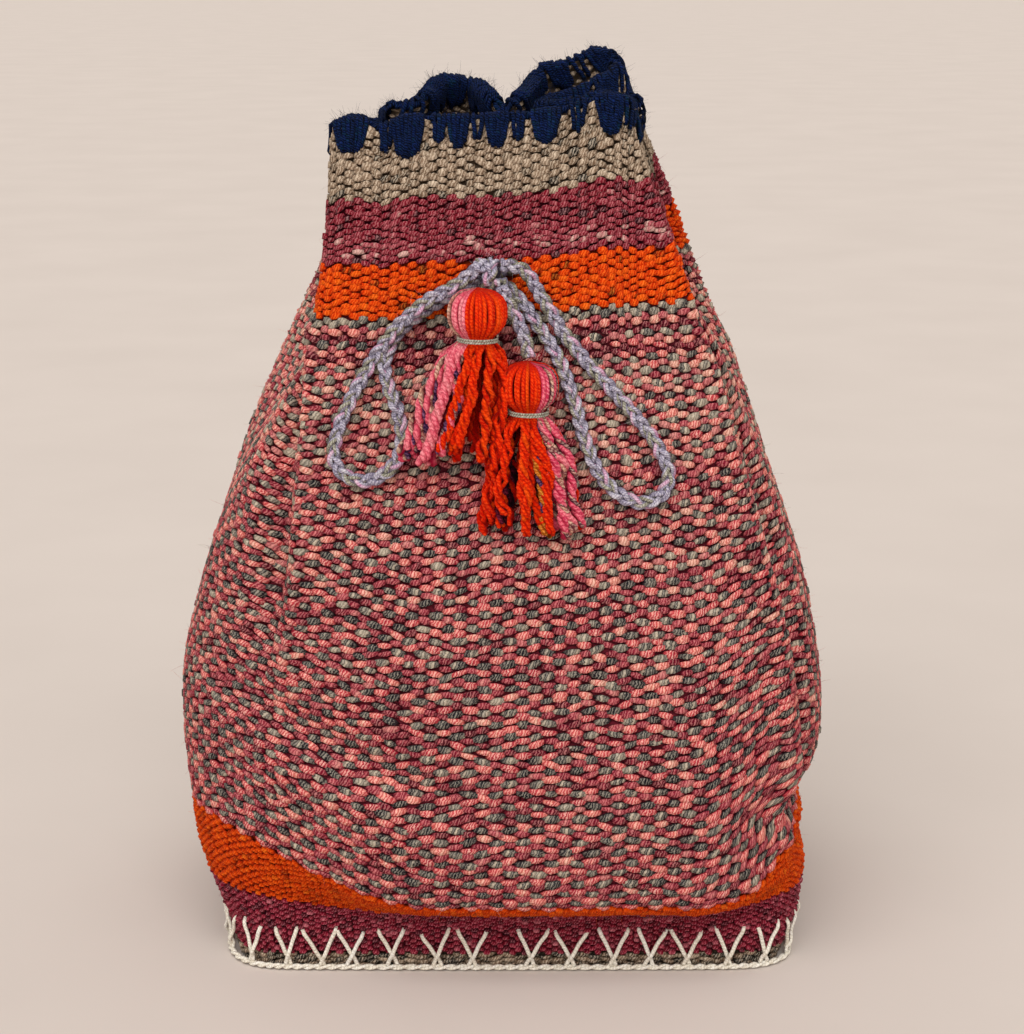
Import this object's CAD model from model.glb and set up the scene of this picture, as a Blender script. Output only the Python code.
"""The dressed view of a hand-woven wool drawstring pouch, standing upright on its own base.

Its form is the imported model's: one tube of cloth that swells at the belly, sags over its lowest
stripe and folds up to its mouth. Each float of weft is a bead of yarn laid on that form. The
edging, the plaited drawstring, the tassels and the stitches are built yarn by yarn.

Metres, +Z up, the front facing -Y.
"""

import logging
import math
from collections import defaultdict
from collections.abc import Sequence
from dataclasses import dataclass
from enum import Enum

import bpy
import numpy as np
from mathutils import Euler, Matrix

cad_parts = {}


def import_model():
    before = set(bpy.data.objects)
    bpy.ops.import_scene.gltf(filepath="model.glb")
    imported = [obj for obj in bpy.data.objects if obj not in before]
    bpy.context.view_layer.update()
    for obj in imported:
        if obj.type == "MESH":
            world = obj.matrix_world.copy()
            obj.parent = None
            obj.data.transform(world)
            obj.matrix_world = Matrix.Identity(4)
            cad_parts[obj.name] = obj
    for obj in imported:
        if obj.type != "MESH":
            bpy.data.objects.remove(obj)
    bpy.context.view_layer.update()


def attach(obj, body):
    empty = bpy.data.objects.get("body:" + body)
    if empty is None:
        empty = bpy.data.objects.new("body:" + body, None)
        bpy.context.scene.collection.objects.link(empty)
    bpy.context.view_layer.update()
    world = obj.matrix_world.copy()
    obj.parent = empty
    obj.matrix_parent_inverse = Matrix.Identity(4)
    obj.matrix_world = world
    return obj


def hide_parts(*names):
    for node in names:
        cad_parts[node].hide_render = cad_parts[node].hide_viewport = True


LOG = logging.getLogger("pouch")
BODY = "root"
MILLIMETRE = 0.001
TURN = 2 * math.pi

Array = np.ndarray
Piece = bpy.types.Object
Material = bpy.types.Material
Socket = bpy.types.NodeSocket
Colour = tuple[float, float, float, float]
Pair = tuple[float, float]
Triple = tuple[float, float, float]
Shade = tuple[int, int, int]
Names = tuple[str, ...]
Shares = tuple[float, ...]
Line = tuple[Pair, ...]

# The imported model's own values: cloth, stripes, base, seam, edging, drawstring and tassels
HEIGHT = 0.341
WIDTH = 0.262
DEPTH = 0.158
BACK_RISE = 0.016
FRONT_TILT = 0.055
WALL = 0.0034
RIB_DEPTH = 0.0012
RIBS = 72
CLEARANCE = 0.0003
CORNER_ROOM = 0.0013
OATMEAL_BAND = 0.0275
MAROON_BAND = 0.0235
ORANGE_BAND = 0.0195
BOTTOM_MAROON_BAND = 0.034
BOTTOM_ORANGE_BAND = 0.03
PANEL_THICKNESS = 0.0034
EDGE_CORD_RADIUS = 0.0013
STITCH_TOP = 0.022
STITCH_COUNT = 44
STITCH_LEAN = 0.0058
SEAM_RADIUS = 0.0007
SEAM_STEP = 0.009
SEAM_REACH = 0.0026
TOOTH_LENGTH = 0.0115
CORD_RADIUS = 0.003
THREADING_DROP = 0.0085
KNOT_X = -0.005
KNOT_RING = 0.0046
TASSEL_TUCK = 0.0048
HEAD_RADIUS = 0.0112
HEAD_LENGTH = 0.0185
TASSEL_NECK = 0.007
TASSEL_LENGTH = 0.064
RIDGE_DEPTH = 0.05


@dataclass(frozen=True)
class Station:
    """One level of the cloth in plan: shares of height, width and depth, and then three lengths."""

    level: float
    front: Pair
    side: Pair
    crease: Pair
    back: Pair
    front_y: float
    back_y: Pair
    bow: float
    pleat: float
    rounding: float

    def row(self) -> Shares:
        """Return the station as one row of lengths, its height first."""
        across = [WIDTH * x for x in (*self.front, *self.side, *self.crease, *self.back)]
        through = [DEPTH * y for y in (self.front_y, *self.back_y)]
        return (self.level * HEIGHT, *across, *through, self.bow, self.pleat, self.rounding)


BASE = Station(0.0, (-0.435, 0.447), (-0.443, 0.458), (-0.443, 0.458), (-0.439, 0.447),
               -0.462, (0.462, 0.462), 0.001, 0.0, 0.0142)
SWELL = Station(0.147, (-0.42, 0.462), (-0.489, 0.481), (-0.489, 0.481), (-0.45, 0.45),
                -0.506, (0.468, 0.468), 0.004, 0.0, 0.0177)
BELLY = Station(0.314, (-0.359, 0.45), (-0.5, 0.496), (-0.504, 0.5), (-0.45, 0.45),
                -0.544, (0.456, 0.456), 0.012, 0.0, 0.021)
SHOULDER = Station(0.557, (-0.298, 0.37), (-0.416, 0.416), (-0.397, 0.393), (-0.359, 0.359),
                   -0.513, (0.342, 0.354), 0.009, 0.004, 0.0118)
NECK = Station(0.821, (-0.267, 0.271), (-0.271, 0.294), (-0.221, 0.16), (-0.252, 0.229),
               -0.373, (0.152, 0.228), 0.003, 0.016, 0.004)
MOUTH = Station(1.0, (-0.252, 0.183), (-0.244, 0.214), (-0.198, 0.061), (-0.229, 0.183),
                -0.291, (0.013, 0.165), 0.0, 0.034, 0.0042)
STATIONS = np.array([s.row() for s in (BASE, SWELL, BELLY, SHOULDER, NECK, MOUTH)])

SIDE_SHARES = (0.16, 0.245, 0.355, 0.58)
BACK_CORNERS = ((0.335, 0), (0.395, 1), (0.475, 1), (0.53, 0), (0.7, 0), (0.735, 1), (0.815, 1), (0.86, 0))
FOLD_CRISPNESS = 0.0026
FRONT_RIGHT_CORNER, BACK_RIGHT_CORNER, FRONT_LEFT_CORNER = 4, 9, 23
FOLD_REACH = 0.017
# Between which shares of the height each front fold turns sharp
FOLD_FADES = ((FRONT_RIGHT_CORNER, 0.06, 0.26), (FRONT_LEFT_CORNER, 0.29, 0.48))

# The belly's sag at the middle of the front: height, drop, and push outwards
SAG = np.array([
    (0.0, 0.0, 0.0), (0.01, 0.0, 0.0), (0.034, -0.006, 0.001), (0.05, -0.016, 0.007),
    (0.064, -0.024, 0.012), (0.08, -0.025, 0.012), (0.11, -0.023, 0.007), (0.15, -0.018, 0.002),
    (0.2, -0.011, 0.0), (0.26, -0.005, 0.0), (HEIGHT, 0.0, 0.0)])
SAG_LEFT = (-0.128, -0.028)
SAG_RIGHT = (0.071, 0.128)

# How far the sides are drawn in, and between which places and heights each pull comes and goes
LEFT_DRAW, LEFT_DRAW_X, LEFT_DRAW_Z = 0.0055, (0.08, 0.114), (0.004, 0.052)
RIGHT_DRAW_X = (0.084, 0.117)
FOOT_DRAW, FOOT_DRAW_BEHIND, FOOT_DRAW_Y, FOOT_DRAW_Z = 0.0026, 0.0062, (-0.07, -0.02), (0.003, 0.02)
NECK_DRAW, NECK_DRAW_X, NECK_DRAW_Z = 0.0034, (0.04, 0.056), (0.235, 0.27)
# The two tucks of the right side: depth, height and reach
TUCKS = ((0.0045, 0.05, 0.007), (0.008, 0.07, 0.012))

# The bow's routes: right and up from the knot, and the height of the cord's middle off the cloth
LEFT_LOOP = ((-0.0044, 0.003, 0.0115), (-0.013, -0.0035, 0.0105), (-0.024, -0.0095, 0.01),
             (-0.033, -0.017, 0.009), (-0.04, -0.0255, 0.0055), (-0.047, -0.036), (-0.053, -0.047),
             (-0.058, -0.059), (-0.0595, -0.068), (-0.056, -0.074), (-0.0485, -0.0765),
             (-0.0405, -0.074), (-0.035, -0.068), (-0.0335, -0.06), (-0.035, -0.0505),
             (-0.0385, -0.042), (-0.04, -0.033), (-0.0365, -0.024), (-0.027, -0.015),
             (-0.015, -0.008), (-0.0044, -0.002, 0.0035))
RIGHT_LOOP = ((0.0044, 0.0045, 0.0115), (0.012, 0.0025, 0.0085), (0.0195, -0.008, 0.0055),
              (0.0275, -0.021, 0.0035), (0.04, -0.036), (0.055, -0.052), (0.0645, -0.065),
              (0.068, -0.0745), (0.0655, -0.081), (0.059, -0.084), (0.05, -0.0815), (0.0425, -0.0745),
              (0.0365, -0.062), (0.032, -0.047), (0.027, -0.033), (0.019, -0.02), (0.011, -0.009),
              (0.0044, -0.003, 0.0035))
RIGHT_TAIL = ((0.0046, -0.0036, 0.0122), (0.0075, -0.01, 0.0125), (0.0115, -0.018, 0.0125),
              (0.014, -0.025, 0.012), (0.0145, -0.029, 0.012))


def curve_through(at: Array | Sequence[float], knots: Array, values: Array) -> Array:
    """Read a smooth curve through values at knots.

    Args:
        at: Where to read it.
        knots: The values' places, rising.
        values: A value or row for each knot.

    Returns:
        A value or row for each place.
    """
    at = np.clip(np.asarray(at, float), knots[0], knots[-1])
    slope = np.gradient(values, knots, axis=0)
    i = np.clip(np.searchsorted(knots, at, side="right") - 1, 0, len(knots) - 2)
    wide = (knots[i + 1] - knots[i])[..., None]
    t = ((at - knots[i])[..., None]) / wide
    return ((2 * t**3 - 3 * t**2 + 1) * values[i] + (t**3 - 2 * t**2 + t) * wide * slope[i]
            + (3 * t**2 - 2 * t**3) * values[i + 1] + (t**3 - t**2) * wide * slope[i + 1])


def ramp(x: Array | float, start: float, end: float) -> Array:
    """Return nought before start, one after end, and a smooth step between."""
    t = np.clip((np.asarray(x, float) - start) / (end - start), 0, 1)
    return t * t * (3 - 2 * t)


def bump(x: Array | float, middle: float, reach: float) -> Array:
    """Return a bell of height one at the middle, which fades over the reach."""
    return np.exp(-(((np.asarray(x, float) - middle) / reach) ** 2))


def unit(vectors: Array) -> Array:
    """Return the vectors at length one."""
    return vectors / np.maximum(np.linalg.norm(vectors, axis=-1, keepdims=True), 1e-12)


def run_along(route: Array) -> Array:
    """Return how far along a route each of its points lies."""
    return np.concatenate([[0], np.cumsum(np.linalg.norm(np.diff(route, axis=0), axis=1))])


def averaged(row: Array, reach: int) -> Array:
    """Return a row's running mean over the given number of values to each side."""
    return np.convolve(np.pad(row, reach, mode="edge"), np.ones(2 * reach + 1) / (2 * reach + 1), "valid")


def sagging(along: Array) -> Array:
    """Return one on the stretch of the front that sags, and nought to both sides of it."""
    return ramp(along, *SAG_LEFT) * (1 - ramp(along, *SAG_RIGHT))


def section_corners(heights: Array) -> tuple[Array, Array]:
    """Find the corners of the cloth's section at each height, from the stations.

    Args:
        heights: Its levels.

    Returns:
        The corners round from the middle of the front, and each row's rounding.
    """
    values = np.moveaxis(curve_through(heights, STATIONS[:, 0], STATIONS[:, 1:]), -1, 0)
    (front_l, front_r, side_l, side_r, crease_l, crease_r, back_l, back_r,
     front_y, back_yl, back_yr, bow, pleat, rounding) = values
    points = [(front_r * t, front_y - bow * (1 - t * t)) for t in (0.0, 0.25, 0.5, 0.75, 1.0)]
    for share, x in zip(SIDE_SHARES, (side_r, crease_r, crease_r, side_r)):
        points.append((x, front_y + share * (back_yr - front_y)))
    points.append((back_r, back_yr))
    for share, folded in BACK_CORNERS:
        straight = back_yr + (back_yl - back_yr) * share
        points.append((back_r + (back_l - back_r) * share, straight - folded * pleat))
    points.append((back_l, back_yl))
    for share, x in zip(SIDE_SHARES[::-1], (side_l, crease_l, crease_l, side_l)):
        points.append((x, front_y + share * (back_yl - front_y)))
    points += [(front_l * t, front_y - bow * (1 - t * t)) for t in (1.0, 0.75, 0.5, 0.25, 0.0)]
    return np.array(points).transpose(2, 0, 1), rounding


def softened(ring: Array, reach: Array, girth: Array) -> Array:
    """Return closed rows with corners rounded by a bell-shaped average of each row's reach."""
    count = ring.shape[1]
    waves = np.fft.rfftfreq(count) * count / girth[:, None]
    keep = np.exp(-2 * (np.pi * waves * reach[:, None]) ** 2)
    return np.fft.irfft(np.fft.rfft(ring, axis=1) * keep[..., None], count, axis=1)


class Cloth:
    """The outer face of the side cloth at given heights, with equal steps of cloth round each row."""

    def __init__(self, heights: Array | Sequence[float], count: int) -> None:
        """Lay out the rows.

        Args:
            heights: Its levels.
            count: Columns round each row.
        """
        self.heights = np.asarray(heights, float)
        self.share = np.arange(count) / count
        corners, rounding = section_corners(self.heights)
        run = np.cumsum(np.linalg.norm(np.diff(corners, axis=1), axis=2), axis=1)
        self.girth = run[:, -1]
        self.corner_share = np.hstack([np.zeros((len(run), 1)), run]) / self.girth[:, None]
        sharp = np.stack([
            np.stack([np.interp(self.share, s, c[:, axis]) for axis in (0, 1)], 1)
            for s, c in zip(self.corner_share, corners)])
        soft = softened(sharp, rounding, self.girth)
        crisp = softened(sharp, np.full(len(run), FOLD_CRISPNESS), self.girth)
        fold = self.fold_mask()
        self.plan = soft * (1 - fold) + crisp * fold
        ahead = unit(np.roll(self.plan, -1, 1) - np.roll(self.plan, 1, 1))
        self.outward = np.stack([ahead[..., 1], -ahead[..., 0]], -1)

    def fold_mask(self) -> Array:
        """Return one on the two sharp front folds, which fade into the belly."""
        reach = FOLD_REACH / self.girth[:, None]
        folds = [bump(self.share, self.corner_share[:, corner, None], reach)
                 * ramp(self.heights, low * HEIGHT, high * HEIGHT)[:, None] for corner, low, high in FOLD_FADES]
        return np.maximum(*folds)[..., None]

    def along(self) -> Array:
        """Return how far round from the middle of the front each column of each row is."""
        return ((self.share + 0.5) % 1 - 0.5)[None, :] * self.girth[:, None]

    def points(self, offset: float | Array = 0.0) -> Array:
        """Work out the surface, with its sag, its rise towards the back and the front's tilt.

        Args:
            offset: How far it is moved outwards.

        Returns:
            The points by row and column.
        """
        along = self.along()
        middle = sagging(along)
        drop, push = np.moveaxis(curve_through(self.heights, SAG[:, 0], SAG[:, 1:]), -1, 0)
        turned = ramp(np.abs(along), 0.08, 0.16)
        tilt = FRONT_TILT * ramp(self.heights, 0.17 * HEIGHT, 0.76 * HEIGHT)[:, None]
        rise = BACK_RISE * ramp(self.heights, 0.15 * HEIGHT, 0.76 * HEIGHT)[:, None]
        z = (self.heights[:, None] + drop[:, None] * middle + rise * turned
             + tilt * self.plan[..., 0] * (1 - turned))
        out = push[:, None] * middle + offset
        return np.dstack([self.plan + self.outward * out[..., None], z])


def front_seat(x: float, z: float, lift: float) -> Triple:
    """Seat a point on the front cloth.

    Args:
        x: Its place across.
        z: Its height.
        lift: How far it stands off the cloth.

    Returns:
        The point.
    """
    height = z
    y_here = 0.0
    for _ in range(6):
        row = Cloth([height], 8 * RIBS).points(RIB_DEPTH + CLEARANCE + lift)[0]
        front = np.vstack([row[-2 * RIBS:], row[:2 * RIBS]])
        y_here, z_here = (np.interp(x, front[:, 0], front[:, axis]) for axis in (1, 2))
        height += z - z_here
    return (x, float(y_here), z)


def threading_height() -> float:
    """Return the level of the drawstring, just below the upper maroon stripe."""
    return HEIGHT - OATMEAL_BAND - MAROON_BAND - THREADING_DROP


def even_route(chosen: Sequence[Sequence[float]] | Array, step: float) -> Array:
    """Lay points at even steps along a smooth curve.

    Args:
        chosen: Points that the curve passes through.
        step: The spacing, nearly.

    Returns:
        The points.
    """
    chosen = np.asarray(chosen, float)
    run = run_along(chosen)
    fine = curve_through(np.linspace(0, run[-1], 1200), run, chosen)
    length = run_along(fine)
    count = max(3, int(round(length[-1] / step)) + 1)
    at = np.linspace(0, length[-1], count)
    return np.column_stack([np.interp(at, length, fine[:, axis]) for axis in range(3)])


def neck_route() -> Array:
    """Return the drawstring's loop inside the neck, from one front slit round to the other."""
    level = threading_height()
    front_l, front_r, *_, back_l, back_r, front_y, back_yl, back_yr, _, _, _ = curve_through(
        [level], STATIONS[:, 0], STATIONS[:, 1:])[0]
    reach = WALL + CLEARANCE + CORD_RADIUS
    inside_y = front_y + reach + 0.0015
    out_y = front_y - RIB_DEPTH - 0.003
    right, left = front_r - 0.013, front_l + 0.012
    back_r_y, back_l_y = back_yr - reach - 0.001, back_yl - reach - 0.001
    points = [
        (KNOT_X + 0.006, out_y), (KNOT_X + 0.008, inside_y - 0.004), (KNOT_X + 0.017, inside_y),
        (0.5 * right, inside_y), (right - 0.006, inside_y + 0.001), (right, inside_y + 0.01),
        (right, -0.01), (back_r - 0.008, back_r_y - 0.01), (back_r - 0.018, back_r_y - 0.001),
        (0.0, 0.5 * (back_r_y + back_l_y)), (back_l + 0.02, back_l_y), (back_l + 0.01, back_l_y - 0.008),
        (left, -0.014), (left, inside_y + 0.01), (left + 0.006, inside_y + 0.001), (0.5 * left, inside_y),
        (KNOT_X - 0.017, inside_y), (KNOT_X - 0.008, inside_y - 0.004), (KNOT_X - 0.006, out_y)]
    rise = [float(BACK_RISE * ramp(y, front_y + 0.03, back_l_y)) for _, y in points]
    return np.array([(x, y, level + up) for (x, y), up in zip(points, rise)])


def seated_route(chosen: Sequence[Shares], step: float) -> Array:
    """Return a bow route in world coordinates, seated on the front cloth."""
    level = threading_height()
    return even_route([front_seat(KNOT_X + x, level + z, *(lift or (CORD_RADIUS,)))
                       for x, z, *lift in chosen], step)


def linear(red: int, green: int, blue: int) -> Colour:
    """Return a colour as the shaders read it, from its values on screen."""
    parts = [c / 255 for c in (red, green, blue)]
    return (*(c / 12.92 if c <= 0.04045 else ((c + 0.055) / 1.055) ** 2.4 for c in parts), 1.0)


def side_draw(points: Array) -> Array:
    """Work out how far the foot, the tucks and the gathers pull the sides inwards.

    Args:
        points: Points of the cloth.

    Returns:
        What is added to X at each point.
    """
    x, y, z = points[..., 0], points[..., 1], points[..., 2]
    left = LEFT_DRAW * ramp(-x, *LEFT_DRAW_X) * (1 - ramp(z, *LEFT_DRAW_Z))
    foot = (FOOT_DRAW + FOOT_DRAW_BEHIND * ramp(y, *FOOT_DRAW_Y)) * (1 - ramp(z, *FOOT_DRAW_Z))
    tucks = sum(depth * bump(z, height, reach) for depth, height, reach in TUCKS)
    right = (tucks + foot) * ramp(x, *RIGHT_DRAW_X)
    right += NECK_DRAW * ramp(x, *NECK_DRAW_X) * ramp(z, *NECK_DRAW_Z)
    return left - right


@dataclass
class Surface:
    """The cloth's outer face as a fine table of points, read anywhere on it.

    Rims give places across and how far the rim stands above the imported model's. Folds give levels
    and places across of the front's ridges. The ridge is a depth and a reach, and the other forms
    are a depth, a place and a reach.
    """

    columns: int = 1536
    rows: int = 240
    back_rim: Line = (
        (-0.068, -0.02), (-0.049, -0.02), (-0.0455, -0.0178), (-0.0415, -0.0175), (-0.0385, -0.0225),
        (-0.0355, -0.0205), (-0.0325, -0.013), (-0.0285, -0.0078), (-0.0236, -0.0065), (-0.0166, -0.0073),
        (-0.0106, -0.0086), (-0.0065, -0.01), (-0.0034, -0.012), (0.0009, -0.0165), (0.0054, -0.0117),
        (0.0086, -0.0097), (0.0117, -0.0065), (0.0164, -0.0024), (0.0235, -0.0016), (0.0308, 0.0008),
        (0.0381, 0.0039), (0.045, 0.0031), (0.0491, 0.0), (0.0513, -0.006), (0.0532, -0.012), (0.056, -0.0145))
    front_rim: Line = (
        (-0.065, -0.0025), (-0.06, -0.0005), (-0.0525, -0.0017), (-0.046, -0.004), (-0.038, -0.001),
        (-0.03, -0.001), (-0.022, -0.0019), (-0.007, -0.0023), (0.0075, -0.0021), (0.022, -0.0013),
        (0.03, 0.0009), (0.037, 0.0032), (0.045, 0.0023), (0.05, 0.0005))
    notch: float = 0.0065
    left_fold: Line = ((0.127, -0.085), (0.166, -0.0792), (0.26, -0.0722), (0.281, -0.0706), (0.336, -0.0675))
    right_fold: Line = (
        (0.073, 0.115), (0.143, 0.107), (0.201, 0.092), (0.272, 0.073), (0.311, 0.0593), (0.338, 0.0495))
    left_fades: Pair = (0.118, 0.17)
    right_fades: Pair = (0.062, 0.09)
    ridge: Pair = (0.0034, 0.0036)
    valley: Triple = (0.0085, 0.012, 0.0068)
    lip: Triple = (0.0034, 0.06, 0.026)
    slack: Triple = (0.0125, 0.063, 0.018)
    slack_along: Pair = (0.106, 0.022)
    waves: float = 0.0011
    crease: Triple = (0.0042, 0.098, 0.009)
    crease_slope: float = -0.42
    crease_along: Pair = (-0.062, 0.05)
    swell: Triple = (0.0026, -0.018, 0.013)

    def __post_init__(self) -> None:
        """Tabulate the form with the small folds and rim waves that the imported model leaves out."""
        self.heights = np.linspace(0, HEIGHT, self.rows)
        cloth = Cloth(self.heights, self.columns)
        self.girth = cloth.girth
        points = cloth.points()
        along = cloth.along()
        points += self._normals(points) * self._relief(along, points)[..., None]
        points[..., 2] += self._rim_lift(cloth)
        for (depth, *level), place in ((self.lip, sagging(along)),
                                       (self.slack, bump(along, *self.slack_along))):
            points[..., 2] -= depth * bump(cloth.heights, *level)[:, None] * place
        points[..., 0] += side_draw(points)
        self.points = points
        self.normal = self._normals(points)

    @staticmethod
    def _normals(points: Array) -> Array:
        """Return the outward normals of a table of points."""
        across = np.roll(points, -1, 1) - np.roll(points, 1, 1)
        return unit(np.cross(across, np.gradient(points, axis=0)))

    @staticmethod
    def _past_fold(along: Array, points: Array, line: Line, side: int) -> Array:
        """Work out how far past a fold of the front each point lies, along the cloth.

        Args:
            along: Distances round from mid front.
            points: The cloth's points.
            line: The fold's levels and places across.
            side: 1 for the right, -1 for the left.

        Returns:
            The distances.
        """
        levels, places = np.array(line).T
        edge = side * np.interp(points[..., 2], levels, places)
        past = (side * points[..., 0] >= edge) & (side * along > 0)
        found = np.minimum(np.where(past, side * along, 1.0).min(axis=1), 0.17)
        return side * along - averaged(found, 6)[:, None]

    def _relief(self, along: Array, points: Array) -> Array:
        """Work out how far folds, slow waves and a slack crease push the cloth out.

        Args:
            along: Distances round from mid front.
            points: The cloth's points.

        Returns:
            The push at each point.
        """
        z = points[..., 2]
        folds = np.zeros(z.shape)
        for line, side, fades in ((self.left_fold, -1, self.left_fades),
                                  (self.right_fold, 1, self.right_fades)):
            past = self._past_fold(along, points, line, side)
            shape = (self.ridge[0] * bump(past, 0.0, self.ridge[1])
                     - self.valley[0] * bump(past, *self.valley[1:]))
            folds += shape * ramp(z, *fades) * (1 - 0.7 * ramp(z, 0.28, 0.33))
        turn = TURN * along / 0.72
        slow = (np.sin(3 * turn + 31 * z + 0.6) * np.sin(24 * z + 1.1) * 0.5
                + np.sin(5 * turn - 40 * z + 2.2) * 0.35 + np.sin(9 * turn + 75 * z) * 0.15)
        reach = ramp(z, 0.02, 0.07) * (1 - 0.8 * ramp(z, 0.24, 0.3))
        level = self.crease[1] + self.crease_slope * (along + 0.055)
        here = bump(along, *self.crease_along)
        crease = bump(z, level, self.crease[2]) * here
        swell = bump(z, level + self.swell[1], self.swell[2]) * here
        return self.waves * slow * reach - self.crease[0] * crease + self.swell[0] * swell + folds

    def _rim_lift(self, cloth: Cloth) -> Array:
        """Work out how far the rim waves up and down, with a notch behind the right fold.

        Args:
            cloth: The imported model's form.

        Returns:
            The lift at each point.
        """
        x, y = cloth.plan[-1, :, 0], cloth.plan[-1, :, 1]
        behind = ramp(y, -0.036, -0.018)
        lift = behind * np.interp(x, *np.array(self.back_rim).T)
        lift -= self.notch * ramp(y, -0.03, -0.018) * (1 - ramp(y, -0.01, -0.006)) * bump(x, 0.038, 0.016)
        lift += (1 - behind) * np.interp(x, *np.array(self.front_rim).T)
        return lift[None, :] * ramp(cloth.heights, 0.72 * HEIGHT, HEIGHT)[:, None]

    def girth_at(self, height: Array) -> Array:
        """Return the cloth's length round at each height."""
        return np.interp(height, self.heights, self.girth)

    def _read(self, table: Array, share: Array, height: Array) -> Array:
        """Read a table between its points.

        Args:
            table: Values by row and column.
            share: Places round the cloth, as shares.
            height: Levels.

        Returns:
            A value for each place.
        """
        across = np.mod(share, 1.0) * self.columns
        left = np.floor(across).astype(int) % self.columns
        right = (left + 1) % self.columns
        across = (across - np.floor(across))[..., None]
        up = np.clip(height / HEIGHT * (self.rows - 1), 0, self.rows - 1.0001)
        low = np.floor(up).astype(int)
        up = (up - low)[..., None]
        return ((table[low, left] * (1 - across) + table[low, right] * across) * (1 - up)
                + (table[low + 1, left] * (1 - across) + table[low + 1, right] * across) * up)

    def at(self, share: Array, height: Array, offset: Array | float = 0.0) -> Array:
        """Return the points at places round the cloth, as shares, at levels and distances off it."""
        share, height, offset = np.broadcast_arrays(share, height, offset)
        return self._read(self.points, share, height) + self.facing(share, height) * offset[..., None]

    def facing(self, share: Array, height: Array) -> Array:
        """Return the outward direction at each place."""
        return unit(self._read(self.normal, share, height))


def grid_faces(rows: int, columns: int, wraps: bool = False) -> Array:
    """Return the faces of a grid that closes round its columns, and over its rows if it wraps."""
    ring, side = np.meshgrid(np.arange(rows if wraps else rows - 1), np.arange(columns), indexing="ij")
    ahead, after = (ring + 1) % rows, (side + 1) % columns
    return np.stack([ring * columns + side, ring * columns + after, ahead * columns + after,
                     ahead * columns + side], -1).reshape(-1, 4)


def grid_corners(places: Array) -> Array:
    """Return the four places of each face in a grid of places."""
    return np.stack([places[..., :-1, :-1, :], places[..., :-1, 1:, :], places[..., 1:, 1:, :],
                     places[..., 1:, :-1, :]], -2)


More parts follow.
